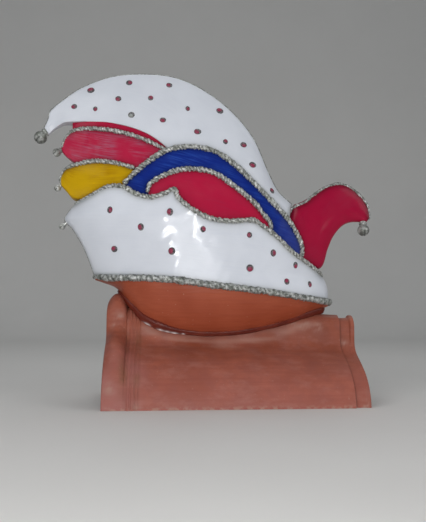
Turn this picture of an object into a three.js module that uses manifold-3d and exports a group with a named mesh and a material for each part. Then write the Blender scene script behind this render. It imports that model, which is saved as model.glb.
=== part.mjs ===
// A clay ridge tile that carries a painted carnival cap on its crest.
// Millimetres, +Z up. X runs along the ridge, Y across it, and both halves mirror over Y = 0.
// While it is built, X is measured from the middle of the tile. At the end the whole group
// is moved so that the origin lies under the middle of its bounding box.
import * as THREE from "three";
import { mergeVertices } from "three/addons/utils/BufferGeometryUtils.js";
import Module from "manifold-3d";

const wasm = await Module();
wasm.setup();

// Driving dimensions of the tile
const TILE_LENGTH = 380;
const TILE_HALF_WIDTH = 110;
const WALL = 13;
const COLLAR_WALL = 16;
const COLLAR_WIDTH = 31;
const COLLAR_EDGE_SHARE = 0.44;
const SPIGOT_LENGTH = 23;
const SPIGOT_STEP = 5;
const SPIGOT_RIM = 8;
const RIB_PITCH = 6;
const RIB_COUNT = 3;
const RIB_HEIGHT = 2.2;
const BODY_CREST = { top: 129, radius: 21, flankFoot: 90, wingStart: [40, 71] };
const COLLAR_CREST = { top: 162, radius: 28, flankFoot: 120, wingStart: [50, 100] };
const FLANK_LEAN = 2;
const WING_PULL = { out: 34, down: 17, edge: [104, 42] };
const TAPER_SHARE = 0.36;

// Driving dimensions of the cap: where its rope runs, half its thicknesses, its cords
const ROPE_FRONT = [-210, 188];
const ROPE_BACK = [154, 151];
const ROPE_RISE = 4;
const ROPE_PLAN = { middle: -28, reach: 182, power: 0.58, half: 66 };
const FOOT_PLAN = { middle: -20, reach: 153, power: 0.42, half: 29 };
const FOOT_BOW = 1.4;
const FOOT_TOP = 2;
const UPPER_PLAN = { middle: -62, reach: 214, power: 0.62 };
const CREST_PLAN = { middle: -20, reach: 290, power: 1 };
const BAND_HALF = 68;
const RED_LEAF_HALF = 59;
const BLUE_LEAF_HALF = 52;
const LAPPET_HALF = 44;
const RED_LAPPET_HALF = 40;
const CREST_HALF = 36;
const TAIL_HALF = 24;
const TIP_HALF = 7;
const EDGE_HALF = 4.5;
const LAYER_BASE = 250;
const LAYER_TAPER = 800;
const ROPE_RADIUS = 5.6;
const BRAID_RADIUS = 4;
const BRAID_ANGLES = [-65, -15, 35, 85, 130];

// The bead between foot and tile, and the gap kept between touching pieces
const BEAD_RADIUS = 5;
const BEAD_DROP = 3;
const BEAD_ENDS = [-173, 133];
const GAP = 0.35;

const CLAY = { color: 0x8f5444, roughness: 0.75, metalness: 0 };
const CAP_WHITE = { color: 0xd2d4dc, roughness: 0.25, metalness: 0 };
const BEAD_BROWN = { color: 0x4a2a22, roughness: 0.2, metalness: 0 };

const { lerp, clamp } = THREE.MathUtils;

// A smooth curve through [x, z] points, read by its share of the length.
function curveThrough(points) {
  const spline = new THREE.SplineCurve(points.map(([x, z]) => new THREE.Vector2(x, z)));
  return (share) => spline.getPointAt(clamp(share, 0, 1));
}

// The solid of a triangle list, turned round where its faces look inwards.
function solidFrom(positions, index) {
  const made = (order) =>
    new wasm.Manifold(
      new wasm.Mesh({
        numProp: 3,
        vertProperties: Float32Array.from(positions),
        triVerts: Uint32Array.from(order),
      }),
    );
  const first = made(index);
  return first.volume() > 0 ? first : made(index.slice().reverse());
}

// A three.js geometry as a solid.
function solidOf(geometry) {
  geometry.deleteAttribute("normal");
  geometry.deleteAttribute("uv");
  const merged = mergeVertices(geometry, 1e-4);
  return solidFrom([...merged.attributes.position.array], [...merged.index.array]);
}

// A closed surface over rings of equal, even length. Point i of a ring faces point
// n - 1 - i across it, so each end is closed by a strip between the ring's two sides.
function loft(rings, closed = false) {
  const n = rings[0].length;
  const last = rings.length - 1;
  const index = [];
  const at = (ring, i) => (ring % rings.length) * n + (i % n);
  const quad = (a, b, c, d) => index.push(a, b, c, a, c, d);
  for (let r = 0; r < (closed ? rings.length : last); r++) {
    for (let i = 0; i < n; i++) {
      quad(at(r, i), at(r, i + 1), at(r + 1, i + 1), at(r + 1, i));
    }
  }
  for (let i = 0; !closed && i < n / 2 - 1; i++) {
    quad(at(0, i), at(0, n - 1 - i), at(0, n - 2 - i), at(0, i + 1));
    quad(at(last, i), at(last, i + 1), at(last, n - 2 - i), at(last, n - 1 - i));
  }
  return solidFrom(rings.flat().flatMap((p) => [p.x, p.y, p.z]), index);
}

const join = (solids) => solids.reduce((all, next) => all.add(next));
const mirrored = (points) => points.map((p) => new THREE.Vector3(p.x, -p.y, p.z));

// A ring whose first half is on the -Y side and whose second half mirrors it.
const mirrorRing = (near) => [...near, ...mirrored(near).reverse()];

// Half the tile's outer section as (y, z), from the crest down to its lower edge:
// an arc over the crest, a straight flank, a hollow and the wing.
function halfSection({ top, radius, flankFoot, wingStart }) {
  const path = new THREE.Path();
  path.absarc(0, top - radius, radius, Math.PI / 2, 0, true);
  const flank = radius + FLANK_LEAN;
  path.lineTo(flank, flankFoot);
  path.quadraticCurveTo(flank + 1, flankFoot - 12, wingStart[0], wingStart[1]);
  const pull = [wingStart[0] + WING_PULL.out, wingStart[1] - WING_PULL.down];
  path.bezierCurveTo(...pull, ...WING_PULL.edge, TILE_HALF_WIDTH, 0);
  const steps = [4, 1, 2, 5];
  const points = path.curves.flatMap((curve, k) =>
    Array.from({ length: steps[k] }, (_, j) => curve.getPoint(j / steps[k])),
  );
  return [...points, new THREE.Vector2(TILE_HALF_WIDTH, 0)];
}

// Moves a half section outwards along its normals. Its lower edge stays at z = 0.
function offsetSection(points, distance) {
  const end = points.length - 1;
  return points.map((p, i) => {
    if (i === 0) return new THREE.Vector2(0, p.y + distance);
    if (i === end) return new THREE.Vector2(p.x + distance, 0);
    const along = new THREE.Vector2().subVectors(points[i + 1], points[i - 1]).normalize();
    return new THREE.Vector2(p.x - along.y * distance, p.y + along.x * distance);
  });
}

// The stations along the tile. share mixes the body's section with the collar's, raise
// lifts the skin, and wall is the thickness under it.
function tileStations() {
  const left = -TILE_LENGTH / 2;
  const right = TILE_LENGTH / 2;
  const step = right - SPIGOT_LENGTH;
  const collarEnd = left + COLLAR_WIDTH;
  const ribsEnd = collarEnd + (RIB_COUNT + 0.6) * RIB_PITCH;
  const taper = (x) => (TAPER_SHARE * (step - x)) / (step - ribsEnd);
  const stations = [];
  for (const across of [-1, -0.86, -0.45, 0, 0.45, 0.86, 1]) {
    const bulge = (1 - across * across) ** (across < 0 ? 0.75 : 0.5);
    const low = across < 0 ? COLLAR_EDGE_SHARE : taper(collarEnd);
    const x = left + (COLLAR_WIDTH / 2) * (1 + across);
    stations.push({ x, share: lerp(low, 1, bulge), raise: 0, wall: COLLAR_WALL });
  }
  for (let k = 0; k < 2 * RIB_COUNT; k++) {
    const x = collarEnd + RIB_PITCH * (0.5 + 0.5 * k);
    const raise = (k % 2) * RIB_HEIGHT;
    stations.push({ x, share: taper(x), raise, wall: WALL + raise });
  }
  stations.push({ x: ribsEnd, share: TAPER_SHARE, raise: 0, wall: WALL });
  const spigot = [
    [step, 0],
    [step + 0.6, -SPIGOT_STEP],
    [right - SPIGOT_RIM, -SPIGOT_STEP],
    [right - SPIGOT_RIM + 2, -1],
    [right - 1.5, -1],
    [right, -2.5],
  ];
  for (const [x, raise] of spigot) stations.push({ x, share: 0, raise, wall: WALL + raise });
  return stations;
}

const BODY_SECTION = halfSection(BODY_CREST);
const COLLAR_SECTION = halfSection(COLLAR_CREST);
const TILE_STATIONS = tileStations();

// The outer half section at a station, grown by a gap where it is a cutter.
function outerAt({ share, raise }, gap = 0) {
  const mixed = BODY_SECTION.map((p, i) => p.clone().lerp(COLLAR_SECTION[i], share));
  return offsetSection(mixed, raise + gap);
}

// A half section placed at x and spread from -Y over the crest to +Y.
function bothSides(half, x) {
  const far = half.map((p) => new THREE.Vector3(x, p.x, p.y));
  return [...mirrored(far.slice(1)).reverse(), ...far];
}

function ridgeTile() {
  const rings = TILE_STATIONS.map((station) => {
    const outer = outerAt(station);
    const inner = offsetSection(outer, -station.wall);
    return [...bothSides(outer, station.x), ...bothSides(inner, station.x).reverse()];
  });
  return loft(rings);
}

// Everything under the tile's outer skin, for cutting what sits on it.
function tileVolume() {
  const rings = TILE_STATIONS.map((station) => {
    const top = bothSides(outerAt(station, GAP), station.x);
    const floor = top.map((p) => new THREE.Vector3(p.x, p.y, -1));
    return [...top, ...floor.reverse()];
  });
  return loft(rings);
}

// Half the width at x of a plan that is pointed at both ends.
function planHalf(x, half, { middle, reach, power }) {
  const off = clamp(Math.abs(x - middle) / reach, 0, 1);
  return half * (1 - off * off) ** power;
}

// Height of the rope at x: a slope from front to back, slightly raised between them.
function ropeHeight(x) {
  const share = (x - ROPE_FRONT[0]) / (ROPE_BACK[0] - ROPE_FRONT[0]);
  const rise = ROPE_RISE * Math.sin(Math.PI * clamp(share, 0, 1));
  return lerp(ROPE_FRONT[1], ROPE_BACK[1], share) + rise;
}

// How deep the foot reaches below the rope: points of [x, depth], read at any x.
const FOOT_DEPTH = new THREE.SplineCurve(
  [
    [-217, 4],
    [-174, 19],
    [-148, 43],
    [-118, 62],
    [-60, 71],
    [13, 65],
    [90, 41],
    [137, 19],
    [158, 10],
  ].map(([x, depth]) => new THREE.Vector2(x, depth)),
);

function footDepth(x) {
  let [low, high] = [0, 1];
  for (let k = 0; k < 24; k++) {
    const middle = (low + high) / 2;
    if (FOOT_DEPTH.getPoint(middle).x < x) low = middle;
    else high = middle;
  }
  return FOOT_DEPTH.getPoint(low).y;
}

// A boat hull whose side bows out from its lower edge up to the rope.
function footHull(gap) {
  const lengthSteps = 22;
  const heightSteps = 4;
  const rings = [];
  for (let k = 0; k <= lengthSteps; k++) {
    const x = ROPE_PLAN.middle - (ROPE_PLAN.reach - 0.5) * Math.cos((Math.PI * k) / lengthSteps);
    const top = planHalf(x, ROPE_PLAN.half, ROPE_PLAN);
    const edge = Math.min(Math.max(planHalf(x, FOOT_PLAN.half, FOOT_PLAN), 0.8), top);
    const near = [];
    for (let j = 0; j <= heightSteps; j++) {
      const angle = (Math.PI / 2) * (j / heightSteps);
      const y = lerp(edge, top, Math.sin(angle) ** FOOT_BOW) + gap;
      const drop = (footDepth(x) + FOOT_TOP + gap) * Math.cos(angle) ** FOOT_BOW;
      near.push(new THREE.Vector3(x, -y, ropeHeight(x) + FOOT_TOP - drop));
    }
    rings.push(mirrorRing(near));
  }
  return loft(rings);
}

// A point on the surface spanned by four side curves in the X-Z plane: s runs along the
// panel and t from its lower to its upper curve. Ends without a curve are straight.
function panelPoint({ lower, upper, front, back }, s, t) {
  const corners = [lower(0), lower(1), upper(0), upper(1)];
  const start = front ? front(t) : corners[0].clone().lerp(corners[2], t);
  const end = back ? back(t) : corners[1].clone().lerp(corners[3], t);
  const point = lower(s).multiplyScalar(1 - t).addScaledVector(upper(s), t);
  point.addScaledVector(start, 1 - s).addScaledVector(end, s);
  const weights = [(1 - s) * (1 - t), s * (1 - t), (1 - s) * t, s * t];
  corners.forEach((corner, k) => point.addScaledVector(corner, -weights[k]));
  return point;
}

// A panel's point on its -Y face.
function facePoint(panel, s, t) {
  const p = panelPoint(panel, s, t);
  return new THREE.Vector3(p.x, -panel.half(s, t, p), p.y);
}

// The panel as one solid, mirrored over Y = 0. Where it has a braid, a round moulding
// follows the corner between its face and its upper edge.
function panelSolid(panel) {
  const [along, up] = panel.steps;
  const rings = [];
  for (let k = 0; k <= along; k++) {
    const s = k / along;
    const near = [];
    for (let j = 0; j < up; j++) near.push(facePoint(panel, s, j / up));
    const corner = facePoint(panel, s, 1);
    if (panel.braid) near.push(...mouldingPoints(panel, s, corner));
    else near.push(corner);
    rings.push(mirrorRing(near));
  }
  return loft(rings);
}

// Points round a panel's upper corner: from its face outwards, up and over.
function mouldingPoints(panel, s, corner) {
  const step = 0.01;
  const before = panel.upper(s - step);
  const along = panel.upper(s + step).sub(before).normalize();
  const radius = panel.braid * (s > 0 && s < 1 ? 1 : 0.6);
  return BRAID_ANGLES.map((degrees) => {
    const angle = THREE.MathUtils.degToRad(degrees);
    const up = Math.sin(angle) * radius;
    const out = Math.cos(angle) * radius;
    return new THREE.Vector3(corner.x - along.y * up, corner.y - out, corner.z + along.x * up);
  });
}

// Half a thickness that follows the upper plan at x and thins out with height.
const layerHalf = (half) => (s, t, p) => {
  const lean = 1 - (p.y - LAYER_BASE) / LAYER_TAPER;
  return Math.max(planHalf(p.x, half, UPPER_PLAN), TIP_HALF) * lean;
};

// The lower edge of the band: the rope's line.
const BAND_FOOT = Array.from({ length: 8 }, (_, k) => {
  const x = lerp(ROPE_FRONT[0], ROPE_BACK[0], k / 7);
  return [x, ropeHeight(x)];
});

const PANELS = {
  whiteBand: {
    steps: [24, 5],
    braid: BRAID_RADIUS,
    lower: curveThrough(BAND_FOOT),
    upper: curveThrough([
      [-241, 299],
      [-214, 311],
      [-189, 322],
      [-166, 321],
      [-145, 309],
      [-124, 304],
      [-103, 309],
      [-90, 315],
      [-82, 301],
      [-60, 284],
      [-34, 272],
      [-5, 269],
      [27, 271],
      [45, 261],
      [67, 245],
      [92, 223],
      [118, 207],
      [144, 190],
    ]),
    front: curveThrough([ROPE_FRONT, [-226, 229], [-244, 260], [-257, 277], [-241, 299]]),
    back: curveThrough([ROPE_BACK, [152, 173], [144, 190]]),
    half: (s) => Math.max(BAND_HALF * (1 - (2 * s - 1) ** 2) ** 0.6, EDGE_HALF),
  },
  redLeaf: {
    steps: [16, 2],
    braid: BRAID_RADIUS,
    lower: curveThrough([
      [-126, 285],
      [56, 238],
    ]),
    upper: curveThrough([
      [-129, 312],
      [-125, 325],
      [-108, 337],
      [-80, 347],
      [-54, 348],
      [-28, 342],
      [0, 324],
      [29, 301],
      [45, 282],
      [55, 270],
      [57, 258],
    ]),
    half: layerHalf(RED_LEAF_HALF),
  },
  blueLeaf: {
    steps: [20, 2],
    braid: BRAID_RADIUS,
    lower: curveThrough([
      [-160, 295],
      [102, 200],
    ]),
    upper: curveThrough([
      [-165, 326],
      [-155, 337],
      [-133, 357],
      [-105, 376],
      [-79, 383],
      [-52, 383],
      [-25, 376],
      [2, 358],
      [32, 330],
      [60, 302],
      [84, 277],
      [100, 252],
      [107, 233],
      [105, 218],
    ]),
    half: layerHalf(BLUE_LEAF_HALF),
  },
  yellowLappet: {
    steps: [12, 2],
    braid: BRAID_RADIUS,
    lower: curveThrough([
      [-264, 329],
      [-253, 319],
      [-239, 305],
      [-200, 300],
      [-140, 300],
    ]),
    upper: curveThrough([
      [-266, 334],
      [-260, 349],
      [-247, 358],
      [-226, 366],
      [-194, 366],
      [-165, 358],
      [-140, 349],
    ]),
    half: layerHalf(LAPPET_HALF),
  },
  redLappet: {
    steps: [14, 2],
    braid: BRAID_RADIUS,
    lower: curveThrough([
      [-256, 377],
      [-247, 368],
      [-234, 358],
      [-190, 345],
      [-100, 330],
    ]),
    upper: curveThrough([
      [-260, 397],
      [-254, 405],
      [-240, 415],
      [-207, 416],
      [-178, 412],
      [-150, 402],
      [-124, 389],
      [-100, 376],
    ]),
    front: curveThrough([
      [-256, 377],
      [-262, 387],
      [-260, 397],
    ]),
    half: layerHalf(RED_LAPPET_HALF),
  },
  whiteCrest: {
    steps: [24, 4],
    lower: curveThrough([
      [-283, 411],
      [-272, 418],
      [-250, 425],
      [-215, 421],
      [-170, 406],
      [-110, 372],
      [-50, 337],
      [20, 292],
      [87, 264],
    ]),
    upper: curveThrough([
      [-286, 429],
      [-282, 445],
      [-265, 461],
      [-235, 481],
      [-189, 500],
      [-140, 506],
      [-90, 502],
      [-46, 484],
      [-1, 451],
      [35, 408],
      [59, 354],
      [75, 323],
      [97, 302],
    ]),
    half: (s, t, p) => {
      const base = Math.max(planHalf(p.x, CREST_HALF, CREST_PLAN), TIP_HALF);
      return lerp(base, EDGE_HALF, t ** 2.2);
    },
  },
  redTail: {
    steps: [16, 4],
    braid: BRAID_RADIUS - 0.5,
    lower: curveThrough([
      [112, 200],
      [142, 202],
      [153, 231],
      [162, 251],
      [176, 268],
      [192, 275],
      [216, 275],
    ]),
    upper: curveThrough([
      [80, 262],
      [93, 291],
      [115, 312],
      [140, 327],
      [167, 335],
      [189, 330],
      [207, 315],
      [218, 294],
      [219, 279],
    ]),
    half: (s, t) => lerp(EDGE_HALF, lerp(TAIL_HALF, TIP_HALF, s), Math.sin(Math.PI * t) ** 0.6),
  },
};

// A round cord that runs once round a plan, at a height that x gives.
function ringCord({ middle, reach, power, half }, heightAt, radius, steps) {
  const sides = 6;
  const points = Array.from({ length: steps }, (_, k) => {
    const angle = (2 * Math.PI * k) / steps;
    const x = middle - (reach + 1) * Math.cos(angle);
    const across = Math.abs(Math.sin(angle)) ** (2 * power) * Math.sign(Math.sin(angle));
    return new THREE.Vector3(x, (half + 1) * across, heightAt(x));
  });
  const rings = points.map((p, k) => {
    const before = points[(k + steps - 1) % steps];
    const along = points[(k + 1) % steps].clone().sub(before).normalize();
    const u = new THREE.Vector3().crossVectors(along, new THREE.Vector3(0, 0, 1)).normalize();
    const v = new THREE.Vector3().crossVectors(along, u);
    return Array.from({ length: sides }, (_, i) => {
      const angle = (2 * Math.PI * (i + 0.5)) / sides;
      const spoke = u.clone().multiplyScalar(Math.cos(angle)).addScaledVector(v, Math.sin(angle));
      return p.clone().addScaledVector(spoke, radius);
    });
  });
  return loft(rings, true);
}

// The bells: centre, radius and the tip each one hangs from.
const BELLS = [
  [[-296, 404], 10, [-283, 417]],
  [[-269, 379], 6, [-258, 385]],
  [[-269, 326], 5, [-259, 334]],
  [[-261, 265], 4, [-249, 274]],
  [[211, 263], 9, [209, 278]],
];

// A round bell with the collar that holds it to its tip.
function bell([x, z], radius, [tipX, tipZ]) {
  const ball = new THREE.SphereGeometry(radius, 9, 6).rotateX(Math.PI / 2).translate(x, 0, z);
  const along = new THREE.Vector3(tipX - x, 0, tipZ - z);
  const length = along.length();
  const collar = new THREE.CylinderGeometry(radius * 0.5, radius * 0.62, length, 7);
  collar.applyQuaternion(
    new THREE.Quaternion().setFromUnitVectors(new THREE.Vector3(0, 1, 0), along.clone().normalize()),
  );
  collar.translate((x + tipX) / 2, 0, (z + tipZ) / 2);
  return solidOf(ball).add(solidOf(collar));
}

function carnivalCap() {
  const rope = ringCord(ROPE_PLAN, ropeHeight, ROPE_RADIUS, 38);
  const panels = Object.values(PANELS).map(panelSolid);
  const bells = BELLS.map((data) => bell(...data));
  return join([footHull(0), ...panels, rope, ...bells]).subtract(tileVolume());
}

function jointBead() {
  const height = (x) => ropeHeight(x) - footDepth(clamp(x, ...BEAD_ENDS)) - BEAD_DROP;
  const bead = ringCord(FOOT_PLAN, height, BEAD_RADIUS, 30);
  return bead.subtract(tileVolume()).subtract(footHull(GAP));
}

// A solid as a named mesh.
function meshOf(name, solid, material) {
  const { numProp, numVert, vertProperties, triVerts } = solid.getMesh();
  const positions = new Float32Array(numVert * 3);
  for (let i = 0; i < numVert; i++) {
    positions.set(vertProperties.subarray(i * numProp, i * numProp + 3), i * 3);
  }
  const geometry = new THREE.BufferGeometry();
  geometry.setAttribute("position", new THREE.BufferAttribute(positions, 3));
  geometry.setIndex(new THREE.BufferAttribute(triVerts, 1));
  geometry.computeVertexNormals();
  const mesh = new THREE.Mesh(geometry, new THREE.MeshStandardMaterial(material));
  mesh.name = name;
  return mesh;
}

const ridge = new THREE.Group();
ridge.add(meshOf("ridge_tile", ridgeTile(), CLAY));
ridge.add(meshOf("carnival_cap", carnivalCap(), CAP_WHITE));
ridge.add(meshOf("joint_bead", jointBead(), BEAD_BROWN));

const bounds = new THREE.Box3().setFromObject(ridge, true);
ridge.position.x = -(bounds.min.x + bounds.max.x) / 2;

export default ridge;
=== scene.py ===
# %% [markdown]
# # A clay ridge tile that carries a painted carnival cap
#
# The real thing is one pressed terracotta ridge tile with a hand-modelled cap fixed on its crest.
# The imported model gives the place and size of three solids: the tile, the cap and the dark bead
# between them. Here each of them gets its look. The tile and the bead get a finer skin in the
# same place, and the cap is split into the zones that the maker painted one by one.

import math

import bmesh
import bpy
import numpy as np
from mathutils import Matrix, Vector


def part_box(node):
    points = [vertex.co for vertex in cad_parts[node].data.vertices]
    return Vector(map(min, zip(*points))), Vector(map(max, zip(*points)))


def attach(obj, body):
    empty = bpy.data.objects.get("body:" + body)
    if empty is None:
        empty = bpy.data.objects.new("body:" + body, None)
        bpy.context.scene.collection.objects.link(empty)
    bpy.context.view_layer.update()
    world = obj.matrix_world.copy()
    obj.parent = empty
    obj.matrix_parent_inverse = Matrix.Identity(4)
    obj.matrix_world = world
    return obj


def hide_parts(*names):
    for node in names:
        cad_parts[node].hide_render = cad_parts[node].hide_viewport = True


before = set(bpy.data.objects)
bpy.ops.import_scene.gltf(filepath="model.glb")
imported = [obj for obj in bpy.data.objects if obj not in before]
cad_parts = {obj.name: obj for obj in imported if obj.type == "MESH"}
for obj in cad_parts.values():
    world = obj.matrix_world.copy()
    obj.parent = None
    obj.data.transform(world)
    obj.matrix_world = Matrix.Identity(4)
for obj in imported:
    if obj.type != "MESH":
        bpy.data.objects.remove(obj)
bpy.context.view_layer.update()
tile_low, tile_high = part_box("ridge_tile")

# %% [markdown]
# ## Measures
#
# Every shape below is worked out in millimetres, with X measured from the middle of the tile, Y
# across the ridge and Z up. That is how the maker would measure it. One function turns such
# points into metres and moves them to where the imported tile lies.

# %% From millimetres to the frame
TILE_MIDDLE = (tile_low.x + tile_high.x) / 2


def metres(points):
    """Millimetres from the middle of the tile as metres: times 0.001, then moved along X."""
    return np.asarray(points, float) * 0.001 + [TILE_MIDDLE, 0, 0]


print("The middle of the tile lies at x =", round(TILE_MIDDLE, 4))

# %% [markdown]
# ## Camera
#
# The photograph was taken from about a metre away, from the level of the tile's crest, looking
# slightly up and to the right. The place was found by laying the solids' outline over the
# photograph until both agreed. A wide sensor of 36 mm goes with the long side of 522 pixels, so
# a focal length of 688 pixels is 47.4 mm.

# %% Camera at the photograph's place
CAMERA_AT = (-101.2, -1069.3, 151.6)
CAMERA_TURN, CAMERA_LIFT = 3.927, 3.265
FOCAL_PIXELS, LONG_SIDE_PIXELS, SENSOR = 688, 522, 36

camera = bpy.data.objects.new("camera", bpy.data.cameras.new("camera"))
bpy.context.scene.collection.objects.link(camera)
camera.location = metres([CAMERA_AT])[0]
camera.rotation_euler = (math.radians(90 + CAMERA_LIFT), 0, math.radians(-CAMERA_TURN))
camera.data.sensor_width = SENSOR
camera.data.lens = FOCAL_PIXELS / LONG_SIDE_PIXELS * SENSOR
camera.data.clip_start = 0.01
bpy.context.scene.camera = camera
print("The camera stands at", [round(v, 3) for v in camera.location])

# %% [markdown]
# ## Smooth paths and hand-made unevenness
#
# The edges of the cap are free curves. A smooth spline runs through measured points, and at
# each of them it runs parallel to the line that joins its neighbours. Reading it by its share
# of the length spreads the mesh evenly along it. Nothing that is modelled by hand is quite
# even, so a sum of a few slanted waves, the same on every run, moves the surfaces by fractions
# of a millimetre.

# %% Helpers for paths and unevenness
def curve_through(points):
    """A smooth path through [x, z] points, read by its share of the length.

    Between two points the path is the cubic that leaves and arrives parallel to the lines
    joining their neighbours. It is sampled finely, and its length is summed up."""
    p = np.asarray(points, float)
    p = np.vstack([p[:1], p, p[-1:]])
    w = np.linspace(0, 1, 40, endpoint=False)[None, :, None]
    before, start, end, after = (p[k : len(p) - 3 + k][:, None] for k in range(4))
    leave, arrive = (end - before) / 2, (after - start) / 2
    cubic = (2 * start - 2 * end + leave + arrive) * w**3
    square = (3 * end - 3 * start - 2 * leave - arrive) * w**2
    path = np.vstack([(cubic + square + leave * w + start).reshape(-1, 2), p[-1:]])
    steps = np.linalg.norm(np.diff(path, axis=0), axis=1)
    length = np.concatenate([[0], np.cumsum(steps)])

    def at(share):
        along = np.clip(share, 0, 1) * length[-1]
        return np.stack([np.interp(along, length, path[:, k]) for k in (0, 1)], -1)

    at.length = length[-1]
    return at


def unevenness(points, size, seed):
    """Values of about -1 to 1 that change over the given size in millimetres.

    They are the mean of six sine waves whose directions and phases come from the seed."""
    rng = np.random.default_rng(seed)
    directions = rng.normal(size=(6, 3)) / size * 3
    phases = rng.uniform(0, 2 * np.pi, 6)
    return np.sin(np.asarray(points) @ directions.T + phases).mean(-1) * 2


def lerp(low, high, share):
    """A straight mix: low where share is 0, high where it is 1."""
    return low + (high - low) * share


def smooth_step(low, high, value):
    """0 below low, 1 above high, and an S-shaped cubic between them."""
    w = np.clip((value - low) / (high - low), 0, 1)
    return w * w * (3 - 2 * w)


# %% [markdown]
# ## Surfaces
#
# Every piece is a grid of points, rows by columns, that closes on itself. `foreach_set` puts
# whole arrays into the mesh at once. Doubled points along seams and poles are merged, so that
# the surface is closed, and the faces are then turned outwards. A grid may carry a UV map in
# metres, which brush strokes follow, and marks such as how deep in a crease a point lies.

# %% Helper that turns grids of points into one closed mesh object
SHARP_FROM = 50
SAME_POINT, NO_LENGTH = 2e-6, 1e-7


def skin(name, grids, uvs=None, marks=None):
    """Builds a mesh from grids of shape (pieces, rows, columns, 3) in millimetres.

    Every cell of a grid becomes one face with four corners: the point, its neighbour in the
    next row, the one after that in the next column, and the neighbour in its own row."""
    grids = np.asarray(grids, float)
    if grids.ndim == 3:
        grids = grids[None]
    pieces, rows, columns, _ = grids.shape
    index = np.arange(pieces * rows * columns).reshape(pieces, rows, columns)
    corners = (index[:, :-1, :-1], index[:, 1:, :-1], index[:, 1:, 1:], index[:, :-1, 1:])
    quads = np.stack(corners, -1).reshape(-1, 4)
    mesh = bpy.data.meshes.new(name)
    mesh.vertices.add(index.size)
    mesh.vertices.foreach_set("co", metres(grids).ravel())
    mesh.loops.add(quads.size)
    mesh.loops.foreach_set("vertex_index", quads.ravel())
    mesh.polygons.add(len(quads))
    mesh.polygons.foreach_set("loop_start", np.arange(0, quads.size, 4))
    mesh.polygons.foreach_set("use_smooth", np.ones(len(quads), bool))
    mesh.update(calc_edges=True)
    if uvs is not None:
        layer = mesh.uv_layers.new(name="strokes")
        layer.data.foreach_set("uv", np.asarray(uvs, float).reshape(-1, 2)[quads].ravel())
    for mark, values in (marks or {}).items():
        attribute = mesh.attributes.new(mark, "FLOAT", "POINT")
        attribute.data.foreach_set("value", np.asarray(values, float).ravel())
    close_and_turn_out(mesh)
    mesh.set_sharp_from_angle(angle=math.radians(SHARP_FROM))
    piece = bpy.data.objects.new(name, mesh)
    bpy.context.scene.collection.objects.link(piece)
    return piece


def close_and_turn_out(mesh):
    """Merges doubled points, drops faces without area and turns all faces outwards."""
    work = bmesh.new()
    work.from_mesh(mesh)
    bmesh.ops.remove_doubles(work, verts=work.verts, dist=SAME_POINT)
    bmesh.ops.dissolve_degenerate(work, dist=NO_LENGTH, edges=work.edges)
    bmesh.ops.recalc_face_normals(work, faces=work.faces)
    open_edges = sum(len(edge.link_faces) != 2 for edge in work.edges)
    work.to_mesh(mesh)
    work.free()
    if open_edges:
        print("  open edges in", mesh.name, open_edges)


def finish_piece(piece, material, slot, *nodes):
    """Gives a piece its material, lets it ride on the body and hides its CAD node. slot is not used."""
    piece.data.materials.append(material)
    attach(piece, "root")
    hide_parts(*nodes)
    print(piece.name, "has", len(piece.data.polygons), "faces")


# %% [markdown]
# ## Building finishes out of nodes
#
# A finish here is a Principled shader whose colour, roughness and bump come from noise. Two
# short helpers keep the recipes readable: one adds any node and wires its inputs, and one mixes
# two colours by a share.

# %% Helpers for node materials
MIX_SHARE, MIX_LOW, MIX_HIGH, MIX_RESULT = 0, 6, 7, 2


def plug(tree, socket, value):
    """Links another node's output to the socket, or writes a plain value into it."""
    if isinstance(value, bpy.types.NodeSocket):
        tree.links.new(value, socket)
    else:
        socket.default_value = value


def add(tree, kind, **inputs):
    """Adds one node. An input is a number, a colour or another node's output."""
    made = tree.nodes.new("ShaderNode" + kind)
    for key, value in inputs.items():
        plug(tree, made.inputs[key.replace("_", " ")], value)
    return made.outputs[0]


def mix(tree, share, low, high):
    """Mixes two colours: low where share is 0, high where it is 1. The Mix node numbers its
    colour sockets after those for plain numbers and vectors."""
    made = tree.nodes.new("ShaderNodeMix")
    made.data_type = "RGBA"
    plug(tree, made.inputs[MIX_SHARE], share)
    for socket, colour in ((MIX_LOW, low), (MIX_HIGH, high)):
        plug(tree, made.inputs[socket], (*colour, 1) if isinstance(colour, tuple) else colour)
    return made.outputs[MIX_RESULT]


def spread(tree, value, low, high, to_low=0.0, to_high=1.0):
    """Stretches low..high of a value to to_low..to_high, and keeps it inside that range."""
    inputs = {"Value": value, "From_Min": low, "From_Max": high}
    return add(tree, "MapRange", **inputs, To_Min=to_low, To_Max=to_high)


def combine(tree, operation, one, other):
    """One arithmetic step, such as MULTIPLY or ADD, on two numbers."""
    made = tree.nodes.new("ShaderNodeMath")
    made.operation = operation
    for socket, value in zip(made.inputs, (one, other)):
        plug(tree, socket, value)
    return made.outputs[0]


def mark_of(tree, name):
    """Reads one of the marks that the mesh carries."""
    made = tree.nodes.new("ShaderNodeAttribute")
    made.attribute_name = name
    return made.outputs["Fac"]


def place_of(tree):
    """The point on the object in metres."""
    return tree.nodes.new("ShaderNodeTexCoord").outputs["Object"]


def strokes_of(tree, along, across):
    """The piece's own UV map in metres, squeezed so that noise draws out into strokes."""
    where = tree.nodes.new("ShaderNodeTexCoord").outputs["UV"]
    return add(tree, "Mapping", Vector=where, Scale=(along, across, 1))


def noise(tree, where, scale, detail=2.0, roughness=0.5):
    """Noise of about 0.3 to 0.7, with a grain of one over scale in metres."""
    return add(tree, "TexNoise", Vector=where, Scale=scale, Detail=detail, Roughness=roughness)


COAT_ROUGHNESS = 0.11


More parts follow.
